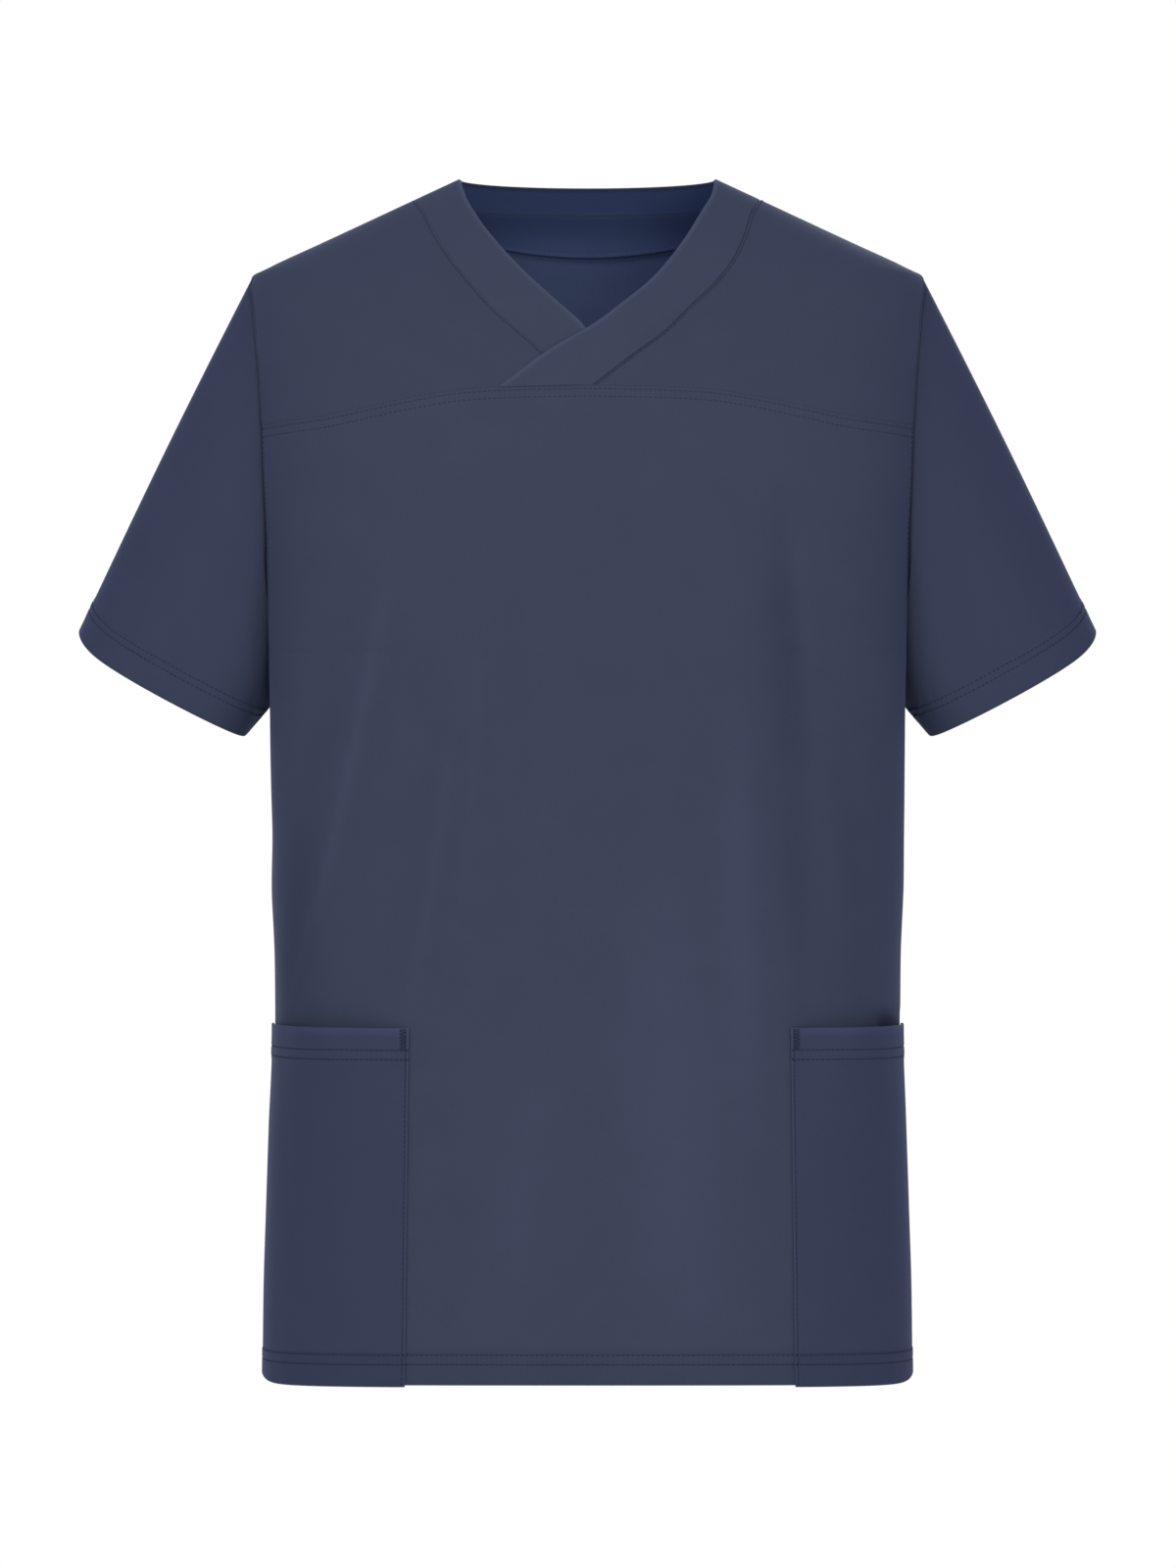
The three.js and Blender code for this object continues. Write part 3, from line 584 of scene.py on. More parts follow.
print("length of a step of 3 by 4 mm:", lengths_along(np.array([[0.0, 0, 0], [3, 4, 0]]), 0)[-1])

# %% [markdown]
# Small reliefs give a flat grid the look of sewn cloth. An edge rolls down into its seam: softly
# where it is turned under, hardly at all where two pieces lie flat, and deeply where the sleeve
# tucks under the body. A row of stitches presses a groove and draws up small ripples beside it.
# Cloth that is folded double, in a hem or under an edge, stands slightly proud as far as the row
# of stitches that holds it.

# %% Rolled edges and folded cloth
ROLL = {"radius": 1.5, "depth": 0.95}
FLAT_ROLL = {"radius": 0.7, "depth": 0.2}
TUCK_ROLL = {"radius": 2.4, "depth": 2.8}
DEEPEST_ROLL = -1.3
HEM_RISE = {"height": 0.4, "before": 1, "fade": 2.4}
ALLOWANCE_RISE = {"height": 0.38, "before": 0.4, "fade": 1.6}


def roll_depth(distance, size=ROLL):
    """How far an edge turns down into its seam."""
    share = np.clip(1 - distance / size["radius"], 0, 1)
    return -size["depth"] * (1 - np.sqrt(1 - share**2))


def folded_rise(distance, held_at, size):
    """Folded cloth underneath lifts an edge up to the row of stitches that holds it."""
    return size["height"] * (1 - smooth((distance - held_at + size["before"]) / size["fade"]))


print("a seam's edge turns down", ROLL["depth"], "mm, a hem stands", HEM_RISE["height"], "mm proud")

# %% Grooves and ripples
GROOVE = {"depth": 0.6, "width": 0.5}
SHALLOW = 0.4
RIPPLE = {"height": 0.1, "reach": 4}
# Columns: share of the height, pitch against the first wave, start.
RIPPLE_WAVES = ((1, 1, 0), (0.6, 1.73, 1.3))
RIPPLE_BEAT = {"level": 0.55, "swing": 0.45, "pitch": 7.1, "start": 0.7}


def groove_depth(distance, rows, share=1.0):
    depth = np.zeros(np.shape(distance))
    for row in rows:
        depth = depth - GROOVE["depth"] * np.exp(-(((distance - row) / GROOVE["width"]) ** 2))
    return depth * share


def puckers(along, distance, row, pitch, height=RIPPLE["height"]):
    """Small ripples that a row of stitches draws up, unevenly, along itself."""
    wander = 0
    for share, stretch, start in RIPPLE_WAVES:
        wander = wander + share * np.sin(2 * PI * along / (pitch * stretch) + start)
    beat = np.sin(2 * PI * along / (pitch * RIPPLE_BEAT["pitch"]) + RIPPLE_BEAT["start"])
    uneven = RIPPLE_BEAT["level"] + RIPPLE_BEAT["swing"] * beat
    return height * wander * uneven * np.exp(-(((distance - row) / RIPPLE["reach"]) ** 2))


print("a row of stitches presses", GROOVE["depth"], "mm deep")

# %% [markdown]
# ## Walls
# A sheet of cloth has two faces and a rim. The outer grid is copied inwards along its own
# normals, and the two are joined round the border by a half-round rim of a few steps. A hem gets
# a thicker wall because it is folded. The solidify modifier could make such a wall, but with a
# square rim.

# %% Normals and border of a grid
RIM_STEPS = 3
CLOTH = 0.9
HEM_CLOTH = 1.7
BAND_CLOTH = 1.9


def grid_normals(points, round_columns=False):
    if round_columns:
        wide = np.concatenate([points[:, -1:], points, points[:, :1]], axis=1)
        across = wide[:, 2:] - wide[:, :-2]
    else:
        across = np.gradient(points, axis=1)
    return unit(np.cross(across, np.gradient(points, axis=0)))


def border_of(rows, columns):
    bottom = [(0, j) for j in range(columns)]
    end = [(i, columns - 1) for i in range(1, rows)]
    top = [(rows - 1, j) for j in range(columns - 2, -1, -1)]
    start = [(i, 0) for i in range(rows - 2, 0, -1)]
    return bottom + end + top + start


def outward_at(points, i, j, round_columns):
    rows, columns = points.shape[:2]
    way = np.zeros(3)
    if i == 0:
        way += unit(points[0, j] - points[1, j])
    if i == rows - 1:
        way += unit(points[-1, j] - points[-2, j])
    if not round_columns and j == 0:
        way += unit(points[i, 0] - points[i, 1])
    if not round_columns and j == columns - 1:
        way += unit(points[i, -1] - points[i, -2])
    return unit(way)


print("a hem is", HEM_CLOTH, "mm thick and plain cloth", CLOTH, "mm")

# %% Shells from grids
def shell(outer, thickness, normals, round_columns=False):
    """Vertices, faces, each face's side (0 outer or rim, 1 inner) and each vertex's grid place."""
    rows, columns = outer.shape[:2]
    thick = np.broadcast_to(thickness, (rows, columns))[..., None]
    inner = outer - normals * thick
    count = rows * columns
    vertices = [outer.reshape(-1, 3), inner.reshape(-1, 3)]
    at = np.arange(count).reshape(rows, columns)
    if round_columns:
        at = np.concatenate([at, at[:, :1]], axis=1)
    quads = np.stack([at[:-1, :-1], at[:-1, 1:], at[1:, 1:], at[1:, :-1]], -1).reshape(-1, 4)
    faces = [quads, quads[:, ::-1] + count]
    sides = [np.zeros(len(quads), int), np.ones(len(quads), int)]
    if round_columns:
        loops = [[(0, j) for j in range(columns)], [(rows - 1, j) for j in range(columns - 1, -1, -1)]]
    else:
        loops = [border_of(rows, columns)]
    used = 2 * count
    sources = [np.arange(count), np.arange(count)]
    for loop in loops:
        i, j = np.array(loop).T
        out_way = np.array([outward_at(outer, a, b, round_columns) for a, b in loop])
        top, low = outer[i, j], inner[i, j]
        middle, half = (top + low) / 2, (top - low) / 2
        radius = np.linalg.norm(half, axis=1, keepdims=True)
        rings = [i * columns + j]
        for k in range(1, RIM_STEPS + 1):
            phi = PI * k / (RIM_STEPS + 1)
            vertices.append(middle + half * math.cos(phi) + out_way * radius * math.sin(phi))
            rings.append(used + np.arange(len(loop)))
            sources.append(i * columns + j)
            used += len(loop)
        rings.append(i * columns + j + count)
        for one, two in zip(rings, rings[1:]):
            strip = np.stack([one, two, np.roll(two, -1), np.roll(one, -1)], -1)
            faces.append(strip)
            sides.append(np.zeros(len(strip), int))
    return [np.concatenate(part) for part in (vertices, faces, sides, sources)]


def facing_out(vertices, faces):
    a, b, c, d = (vertices[faces[:, k]] for k in range(4))
    volume = np.einsum("ij,ij->i", a, np.cross(b, c)) + np.einsum("ij,ij->i", a, np.cross(c, d))
    return faces if volume.sum() > 0 else faces[:, ::-1]


print("steps round a rim:", RIM_STEPS + 1)

# %% [markdown]
# ## Pieces
# Every piece is one object that rides on the frame's only body. Its points also carry two
# attributes. The one called cut keeps their place in the flat cut, in metres, so that the weave
# follows each panel's own grain wherever it lies. The one called painted_shading holds painted
# light and shade: painted highlights along folded edges and on the crests of creases, painted
# shade in hollows, in the ditch round a sleeve and along the back band's rim, and hems painted a
# little darker.

# %% Objects from points and faces
def new_object(name, vertices, faces):
    mesh = bpy.data.meshes.new(name)
    mesh.vertices.add(len(vertices))
    mesh.vertices.foreach_set("co", (vertices * MM).astype(np.float32).ravel())
    mesh.loops.add(faces.size)
    mesh.loops.foreach_set("vertex_index", faces.astype(np.int32).ravel())
    mesh.polygons.add(len(faces))
    width = faces.shape[1]
    mesh.polygons.foreach_set("loop_start", np.arange(0, faces.size, width, dtype=np.int32))
    mesh.update(calc_edges=True)
    mesh.validate()
    mesh.shade_smooth()
    piece = bpy.data.objects.new(name, mesh)
    bpy.context.scene.collection.objects.link(piece)
    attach(piece, "root")
    return piece


def keep_at_points(piece, name, kind, field, values):
    attribute = piece.data.attributes.new(name, kind, "POINT")
    attribute.data.foreach_set(field, values.astype(np.float32).ravel())


print("millimetres in one unit of the scene:", round(1 / MM))

# %% Painted highlights and shade
CREASE_SHADING = 0.14
HEM_TONE = -0.22
HEM_TONE_FADE = 3


def edge_falloff(distance, reach=1.1):
    """1 at an edge, fading to 0 at reach; it places painted highlights and painted shade beside edges.
    """
    return 1 - smooth(distance / reach)


def crease_shading(points, angle, folds=FINE_FOLDS):
    """Painted highlight on the crests of creases and painted shade in their hollows."""
    return CREASE_SHADING * fold_height(folds, points[..., 0], points[..., 2], angle)


def hem_tone(distance, width):
    """Paints the cloth a little darker as far as the hem's width."""
    return HEM_TONE * (1 - smooth((distance - width) / HEM_TONE_FADE))


print("a crest of 2 mm is paler by", round(2 * CREASE_SHADING, 2), "and a hem deeper by", -HEM_TONE)

# %% Pieces of cloth
made = {}


def cloth_piece(name, outer, thickness, slot, outward, round_columns=False, faces="one", painted_shading=0):
    """Makes one panel. faces is one, or both where doubled cloth shows its face on each side."""
    normals = grid_normals(outer, round_columns)
    normals = normals * np.sign((normals * outward).sum(-1, keepdims=True).mean())
    vertices, quads, sides, sources = shell(outer, thickness, normals, round_columns)
    piece = new_object(name + "_cloth", vertices, facing_out(vertices, quads))
    up, across = lengths_along(outer, 0), lengths_along(outer, 1)
    middle = across[:, across.shape[1] // 2, None]
    flat = np.stack([across - middle, up, np.zeros_like(up)], -1).reshape(-1, 3)
    paler = np.broadcast_to(painted_shading, outer.shape[:2]).ravel()
    keep_at_points(piece, "cut", "FLOAT_VECTOR", "vector", flat[sources] * MM)
    keep_at_points(piece, "painted_shading", "FLOAT", "value", paler[sources])
    if faces == "one":
        piece.data.polygons.foreach_set("material_index", sides.astype(np.int32))
    made[name] = {
        "outer": outer,
        "normals": normals,
        "piece": piece,
        "round": round_columns,
        "slot": slot,
    }
    print(f"{name}: {len(quads)} faces")


# %% [markdown]
# A panel's middle is found by blending its four edges: the straight mix of bottom and top, plus
# the straight mix of the two sides, less the mix of the corners. It is the oldest way to fill a
# four-sided hole, and it keeps the grid running along every edge.

# %% Patches between four lines
def patch(across, up, bottom, top, start, end):
    """Each line gives its values at an array of shares; across and up are the grid's shares."""
    a, u = across[None, :], up[:, None]
    edges = {"bottom": bottom(across), "top": top(across), "start": start(up), "end": end(up)}
    corners = {"low": bottom(np.array([0.0, 1.0])), "high": top(np.array([0.0, 1.0]))}
    filled = []
    for k in range(2):
        ruled = mix(edges["bottom"][k][None, :], edges["top"][k][None, :], u)
        swept = mix(edges["start"][k][:, None], edges["end"][k][:, None], a)
        low, high = corners["low"][k], corners["high"][k]
        filled.append(ruled + swept - mix(mix(low[0], low[1], a), mix(high[0], high[1], a), u))
    return filled


def with_x(line):
    """The same line in widths and heights instead of angles and heights."""

    def at(share):
        angle, z = line(share)
        return plain_point(angle, z)[..., 0], z

    return at


def cloth_over(angle, z, lift=0.0, folds=FINE_FOLDS):
    """Points of the body with its fine creases, moved out by lift."""
    points = body_point(angle, z)
    height = lift + fold_height(folds, points[..., 0], z, angle)
    return points + np.asarray(height)[..., None] * body_normal(angle, z)


print("middle of the chest, lifted by 2 mm:", np.round(cloth_over(PI / 2, -250.0, 2.0), 1))

# %% [markdown]
# ## Lower front
# The lower front runs from the hem to the arched yoke seam. Its grid has two parts: below the
# underarm the sides are side seams, and above it they follow the armholes. Two rows of stitches
# hold the hem, two lie just under the yoke seam and one runs beside each armhole. The back is
# made in the same way, so both use the helpers of the next cells.

# %% Grid of a lower panel
STEP = 4.4
SIDE_SPAN = 600
LOWER_SPAN = 440
UNDERARM = ARMHOLE["bottom"]
HEM_ROWS = (11.5, 17.5)
ARMHOLE_ROW = 3.0


def mirrored(place, half_turn):
    return half_turn - place[0], place[1]


def lower_grid(half_turn, across, hem_z):
    rows = spaced(LOWER_SPAN, STEP, low_marks=HEM_ROWS)
    angle = np.broadcast_to(half_turn * across, (len(rows), len(across)))
    hem = hem_z(angle)
    z = mix(hem, UNDERARM, rows[:, None])
    return angle, z + corner_rise(angle, z - hem)


def panel_grid(half_turn, across, up, hem_z, top, side):
    """Places of the front or the back. half_turn is the angle from its first to its last side."""
    upper = patch(
        across,
        up,
        bottom=lambda share: (half_turn * share, np.full(np.shape(share), float(UNDERARM))),
        top=top,
        start=side,
        end=lambda share: mirrored(side(share), half_turn),
    )
    lower = lower_grid(half_turn, across, hem_z)
    return [np.concatenate([low[:-1], high]) for low, high in zip(lower, upper)]


across_panel = spaced(SIDE_SPAN, STEP, (ARMHOLE_ROW,), (ARMHOLE_ROW,), True, True)
print("columns of a lower panel:", len(across_panel))

# %% Relief of a lower panel
HEM_WIDTH = 18.6
HEM_RIPPLE = 13.7
UNDERARM_FADE = {"below": 2, "span": 6}


def sides_of(distance):
    return np.minimum(distance["start"], distance["end"])


def upper_share(z):
    """1 above the underarm, fading to 0 just below it."""
    return smooth((z - UNDERARM + UNDERARM_FADE["below"]) / UNDERARM_FADE["span"])


def panel_relief(distance, z, top_rows):
    sides = sides_of(distance)
    beside_hole = groove_depth(sides, [ARMHOLE_ROW])
    beside_hole = beside_hole + folded_rise(sides, ARMHOLE_ROW, ALLOWANCE_RISE)
    relief = roll_depth(sides) + beside_hole * upper_share(z)
    relief = relief + groove_depth(distance["top"], top_rows, SHALLOW)
    relief = relief + roll_depth(distance["top"], FLAT_ROLL)
    relief = relief + groove_depth(distance["bottom"], HEM_ROWS)
    relief = relief + folded_rise(distance["bottom"], HEM_WIDTH, HEM_RISE)
    for row in HEM_ROWS:
        relief = relief + puckers(distance["start"], distance["bottom"], row, HEM_RIPPLE)
    return relief


print("hem:", HEM_WIDTH, "mm, with rows of stitches at", HEM_ROWS)

# %% Thickness and normals beside the seams
ALLOWANCE = {"thickness": 2.9, "past_row": 1, "fade": 1.5}
HEM_FADE = 2
LEAN_SPAN = 6
MIRROR = np.array([-1, 1, 1])


def hemmed_thickness(distance, width):
    return mix(HEM_CLOTH, CLOTH, smooth((distance - width) / HEM_FADE))


def with_allowance(thickness, sides, above=1.0):
    """Adds the folded allowance that lies under the edge beside an armhole."""
    past = (sides - ARMHOLE_ROW - ALLOWANCE["past_row"]) / ALLOWANCE["fade"]
    share = (1 - smooth(past)) * above
    return np.maximum(thickness, mix(CLOTH, ALLOWANCE["thickness"], share))


def leaned(normals, bend, distance):
    """Leans the normals beside a seam to the bend that both its pieces share."""
    return mix(normals, bend, smooth(1 - distance / LEAN_SPAN)[..., None])


def lean_sides(normals, bend, distance):
    upper = len(bend)
    for side, way in (("start", bend), ("end", bend * MIRROR)):
        beside = distance[side][-upper:]
        normals[-upper:] = leaned(normals[-upper:], way[:, None, :], beside)
    return unit(normals)


print("beside an armhole the folded cloth is", ALLOWANCE["thickness"], "mm thick")

# %% One lower panel
def lower_panel(name, slot, angle, z, bend, top_rows, folds):
    """Makes the front or the back from its places and the bend along its armholes."""
    form = cloth_over(angle, z, folds=folds)
    distance = edge_distances(form)
    sides, hem = sides_of(distance), distance["bottom"]
    normals = lean_sides(body_normal(angle, z), bend, distance)
    points = form + panel_relief(distance, z, top_rows)[..., None] * normals
    thickness = with_allowance(hemmed_thickness(hem, HEM_WIDTH), sides, upper_share(z))
    # Painted highlight along the armhole edges above the underarm, and painted highlight and shade on
    # the creases, with a painted shadow in the dent at the right pocket's mouth.
    painted_shading = edge_falloff(sides) * upper_share(z) + crease_shading(points, angle, folds)
    painted_shading = painted_shading + hem_tone(hem, HEM_WIDTH)
    cloth_piece(name, points, thickness, slot, normals, painted_shading=painted_shading)


# %% Front body
FRONT_UPPER_SPAN = 162
YOKE_ROWS = (2.4, 7.2)
yoke_corner = armhole_place(YOKE_TURN)[0]


def front_side(share):
    return armhole_place(mix(PI, YOKE_TURN, share))


def front_top(share):
    return yoke_place(mix(yoke_corner, PI - yoke_corner, share))


front_up = spaced(FRONT_UPPER_SPAN, STEP, high_marks=YOKE_ROWS, high_roll=True)
front_angle, front_z = panel_grid(PI, across_panel, front_up, hem_height, front_top, front_side)
front_bend = bend_normal(mix(PI, YOKE_TURN, front_up))
lower_panel(
    "front_body", "front_cloth", front_angle, front_z, front_bend, YOKE_ROWS, FRONT_FOLDS
)

# %% [markdown]
# ## Back
# The back is one piece from hem to neck. Its sides follow the side seams, the armholes and then
# the two shoulder lines, so its grid turns a corner at each shoulder tip. The scissors would do
# the same.

# %% Back body
BACK_SHARE = 13 / 22
BACK_SPANS = {"armhole": 245, "shoulder": 126}
BAND_ROW = 2.0


def back_side(share):
    share = np.asarray(share, float)
    on_armhole = share <= BACK_SHARE
    hole = armhole_place(mix(PI, 2 * PI, np.clip(share / BACK_SHARE, 0, 1)))
    ridge = shoulder_line(np.clip((share - BACK_SHARE) / (1 - BACK_SHARE), 0, 1))
    return np.where(on_armhole, hole[0], ridge[0]), np.where(on_armhole, hole[1], ridge[1])


back_low = spaced(BACK_SPANS["armhole"], STEP)
back_high = spaced(BACK_SPANS["shoulder"], STEP, high_marks=(BAND_ROW,), high_roll=True)
back_up = np.concatenate([back_low[:-1] * BACK_SHARE, mix(BACK_SHARE, 1, back_high)])
back_angle, back_z = panel_grid(
    -PI, across_panel, back_up, back_hem_height, back_seam, back_side
)
back_bend = bend_normal(mix(PI, 2 * PI, np.clip(back_up / BACK_SHARE, 0, 1)))
on_shoulder = back_up > BACK_SHARE
back_bend[on_shoulder] = body_normal(*back_side(back_up[on_shoulder]))
lower_panel("back_body", "back_cloth", back_angle, back_z, back_bend, (BAND_ROW,), FINE_FOLDS)

# %% [markdown]
# ## Yokes
# Two upper fronts cover the chest above the yoke seam. They are laid out on the front view, in
# widths and heights, because near the shoulder the body is almost level and angles would crowd
# together there. The left one is built on the right side and then mirrored.

# %% Grid of a yoke
YOKE_BAND_ROW = 1.9
YOKE_SPANS = {"across": 150, "up": 120}


def yoke_grid(band):
    across = spaced(YOKE_SPANS["across"], STEP, (ARMHOLE_ROW,), (YOKE_BAND_ROW,), True, True)
    up = spaced(YOKE_SPANS["up"], STEP, low_roll=True, high_roll=True)
    seam_end = band["seam"](np.array([1.0]))[0][0]

    def seam_line(share):
        return yoke_place(mix(yoke_corner, seam_end, np.asarray(share, float)))

    def armhole_line(share):
        return armhole_place(mix(YOKE_TURN, 0, np.asarray(share, float)))

    def band_line(share):
        return band["seam"](1 - np.asarray(share, float))

    lines = [with_x(line) for line in (seam_line, shoulder_line, armhole_line, band_line)]
    x, z = patch(across, up, *lines)
    angle = angle_across(x, z)
    angle[0], z[0] = seam_line(across)
    angle[-1], z[-1] = shoulder_line(across)
    angle[:, 0], z[:, 0] = armhole_line(up)
    angle[:, -1], z[:, -1] = band_line(up)
    return angle, z, mix(YOKE_TURN, 0, up)


print("rows and columns of a yoke:", yoke_grid(right_band_lines)[0].shape)

# %% Front yokes
def yoke(name, band, left):
    angle, z, turns = yoke_grid(band)
    placed = PI - angle if left else angle
    form = cloth_over(placed, z)
    distance = edge_distances(form)
    bend = bend_normal(turns) * (MIRROR if left else 1)
    normals = unit(leaned(body_normal(placed, z), bend[:, None, :], distance["start"]))
    relief = groove_depth(distance["start"], [ARMHOLE_ROW])
    relief = relief + folded_rise(distance["start"], ARMHOLE_ROW, ALLOWANCE_RISE)
    relief = relief + groove_depth(distance["end"], [YOKE_BAND_ROW])
    for edge in ("start", "top"):
        relief = relief + roll_depth(distance[edge])
    relief = relief + roll_depth(distance["end"], FLAT_ROLL if left else ROLL)
    relief = relief + roll_depth(distance["bottom"], FLAT_ROLL)
    if not left:
        relief = relief + folded_rise(distance["end"], YOKE_BAND_ROW, ALLOWANCE_RISE)
    points = form + np.maximum(relief, DEEPEST_ROLL)[..., None] * normals
    thickness = with_allowance(CLOTH, distance["start"])
    # Painted highlight along the armhole edge.
    cloth_piece(name, points, thickness, "yoke_cloth", normals, painted_shading=edge_falloff(distance["start"]))


yoke("front_yoke_right", right_band_lines, False)
yoke("front_yoke_left", left_band_lines, True)

# %% [markdown]
# ## Neck band
# A doubled band finishes the neck. Its two front ends cross below the V: the right one lies on
# top, so it is lifted over the left one. Because it is folded, its free edge is a soft round one
# and its wall is about twice as thick.

# %% Front neck bands
CROSSING = {"start": 0.52, "ramp": 0.16, "inward": 0.25, "top_z": -95, "end_z": -131}
OVER_LIFT = (2.4, 0.7)
UNDER_LIFT = (0.0, -1.7)
BAND_STEPS = {"along": 3.2, "across": 2.6, "back": 2.2}
BAND_SPANS = {"along": 240, "across": 28, "back_along": 250, "back_across": 20}
BAND_SHADOW_REACH = 1.4


def front_band(name, band, left):
    along = spaced(BAND_SPANS["along"], BAND_STEPS["along"], low_roll=True, high_roll=True)
    across = spaced(BAND_SPANS["across"], BAND_STEPS["across"], low_roll=True)
    seam, edge = band["seam"](along), band["edge"](along)
    angle = mix(seam[0][:, None], edge[0][:, None], across[None, :])
    z = mix(seam[1][:, None], edge[1][:, None], across[None, :])
    lower = smooth((z - CROSSING["top_z"]) / (CROSSING["end_z"] - CROSSING["top_z"]))
    if left:
        lift = mix(*UNDER_LIFT, lower)
    else:
        crossing = smooth((along - CROSSING["start"]) / CROSSING["ramp"])
        inward = smooth(across / CROSSING["inward"])
        lift = mix(*OVER_LIFT, lower) * crossing[:, None] * inward[None, :]
    placed = PI - angle if left else angle
    form = cloth_over(placed, z, lift)
    distance = edge_distances(form)
    normals = body_normal(placed, z)
    relief = roll_depth(distance["start"], FLAT_ROLL if left else ROLL)
    relief = relief + roll_depth(distance["bottom"]) + roll_depth(distance["top"], FLAT_ROLL)
    points = form + np.maximum(relief, DEEPEST_ROLL)[..., None] * normals
    # Painted highlight along the band's free edge.
    painted_shading = edge_falloff(distance["end"])
    cloth_piece(name, points, BAND_CLOTH, "band_cloth", normals, faces="both", painted_shading=painted_shading)


front_band("neckband_right", right_band_lines, False)
front_band("neckband_left", left_band_lines, True)

# %% Back neck band
def back_strip(low_line, high_line, across, up):
    """Places between two lines of the back neck."""
    low, high = low_line(across), high_line(across)
    angle = mix(low[0][None, :], high[0][None, :], up[:, None])
    return angle, mix(low[1][None, :], high[1][None, :], up[:, None])


band_across = spaced(BAND_SPANS["back_along"], BAND_STEPS["along"], low_roll=True, high_roll=True)
band_up = spaced(BAND_SPANS["back_across"], BAND_STEPS["back"], low_roll=True)
band_angle, band_z = back_strip(back_seam, back_rim, band_across, band_up)
band_form = cloth_over(band_angle, band_z)
band_distance = edge_distances(band_form)
band_normals = body_normal(band_angle, band_z)
band_relief = sum(roll_depth(band_distance[edge]) for edge in ("start", "end", "bottom"))
# Painted shadow line along the rim of the back band.
cloth_piece(
    "neckband_back",
    band_form + np.maximum(band_relief, DEEPEST_ROLL)[..., None] * band_normals,
    BAND_CLOTH,
    "band_cloth",
    band_normals,
    painted_shading=-edge_falloff(band_distance["top"], BAND_SHADOW_REACH),
)

# %% [markdown]
# ## Back neck facing
# Inside the back neck a curved facing hides the seam. From the front it is the dark shape that
# shows through the neck, with a stitched lower edge, and below it the reverse of the back. It
# lies close under the back, so it is the same form moved a little inwards. A painted highlight
# runs along its fold, and a painted shadow along the very edge.

# %% Facing
FACING_LIFT = (-1.25, -2.5)
FACING_CLOTH = 1.2
FACING_SPAN = 30
FACING_STEP = 2.4
# A painted highlight along the facing's fold, then a painted shadow at its very edge.
# Columns: tone, reach.
FACING_HIGHLIGHT_AND_SHADOW = ((0.9, 3.2), (-2.6, 1.2))

facing_up = spaced(FACING_SPAN, FACING_STEP, high_roll=True)
facing_angle, facing_z = back_strip(back_seam, facing_edge, band_across, facing_up)
facing_lift = mix(*FACING_LIFT, smooth((facing_up - 0.5) * 2))[:, None]
facing_form = cloth_over(facing_angle, facing_z, facing_lift)
from_edge = edge_distances(facing_form)["top"]
cloth_piece(
    "back_neck_facing",
    facing_form,
    FACING_CLOTH,
    "facing_cloth",
    body_normal(facing_angle, facing_z),
    faces="both",
    painted_shading=sum(tone * edge_falloff(from_edge, reach) for tone, reach in FACING_HIGHLIGHT_AND_SHADOW),
)

# %% [markdown]
# ## Sleeves
# Each sleeve is a tube lofted from the armhole oval to the cuff, with a doubled hem and two rows
# of stitches. Its upper end tucks under the body's edge, which leaves a ditch, with a painted
# dark line along the seam and a broad painted shade beside it. One broad fold fills out its lower
# front, and a few small ones fan out from the underarm, where cloth bunches.

# %% Folds of a sleeve
# Columns: turn, start, drift, reach, height, width.
SLEEVE_FOLDS = (
    (2.38, -0.15, -0.08, 1.25, 9.0, 0.52),
    (3.62, 0.02, 0.3, 0.6, 1.6, 0.11),
    (3.92, 0.04, 0.34, 0.75, -1.3, 0.11),
    (4.3, 0.08, 0.2, 0.7, 1.0, 0.12),
    (5.2, 0.15, 0.1, 0.8, -0.8, 0.16),
    (1.2, 0.20, -0.1, 0.75, 0.6, 0.17),
)


def sleeve_fold_height(turn, along):
    height = np.zeros(np.broadcast(turn, along).shape)
    for at, start, drift, reach, tall, width in SLEEVE_FOLDS:
        share = np.clip((along - start) / reach, 0, 1)
        middle = at + drift * share
        height = height + tall * np.sin(PI * share) * np.exp(-(((turn - middle) / width) ** 2))
    return height


print("folds of a sleeve:", len(SLEEVE_FOLDS))

# %% Sleeves
SLEEVE_ROWS = (15.0, 19.4)
SLEEVE_HEM = 20.4
SLEEVE_SPAN = 240
SLEEVE_COLUMNS = 190
SLEEVE_RIPPLE = {"pitch": 11.3, "height": 0.12}
# Painted shade beside the armhole seam: a dark line at the seam and a broad shade beyond it.
# Columns: tone, reach.
SLEEVE_SEAM_SHADE = ((-1.2, 2.4), (-0.2, 26))


def sleeve(name, left):
    turn = np.arange(SLEEVE_COLUMNS) * 2 * PI / SLEEVE_COLUMNS
    along = spaced(SLEEVE_SPAN, STEP, high_marks=SLEEVE_ROWS, low_roll=True)
    turns, shares = np.meshgrid(turn, along)
    form = sleeve_point(turns, shares)
    up, across = lengths_along(form, 0), lengths_along(form, 1)
    from_seam, from_hem = up, up[-1:] - up
    normals = sleeve_normal(turns, np.maximum(shares, SLEEVE_READ))
    normals = unit(leaned(normals, bend_normal(turn)[None], from_seam))
    relief = roll_depth(from_seam, TUCK_ROLL) + groove_depth(from_hem, SLEEVE_ROWS)
    relief = relief + folded_rise(from_hem, SLEEVE_HEM, HEM_RISE)
    relief = relief + sleeve_fold_height(turns, shares)
    for row in SLEEVE_ROWS:
        relief = relief + puckers(across, from_hem, row, **SLEEVE_RIPPLE)
    points = form + relief[..., None] * normals
    if left:
        points, normals = points * MIRROR, normals * MIRROR
    cloth_piece(
        name,
        points,
        hemmed_thickness(from_hem, SLEEVE_HEM),
        "sleeve_cloth",
        normals,
        round_columns=True,
        painted_shading=sum(tone * edge_falloff(from_seam, reach) for tone, reach in SLEEVE_SEAM_SHADE),
    )


sleeve("sleeve_right", False)
sleeve("sleeve_left", True)

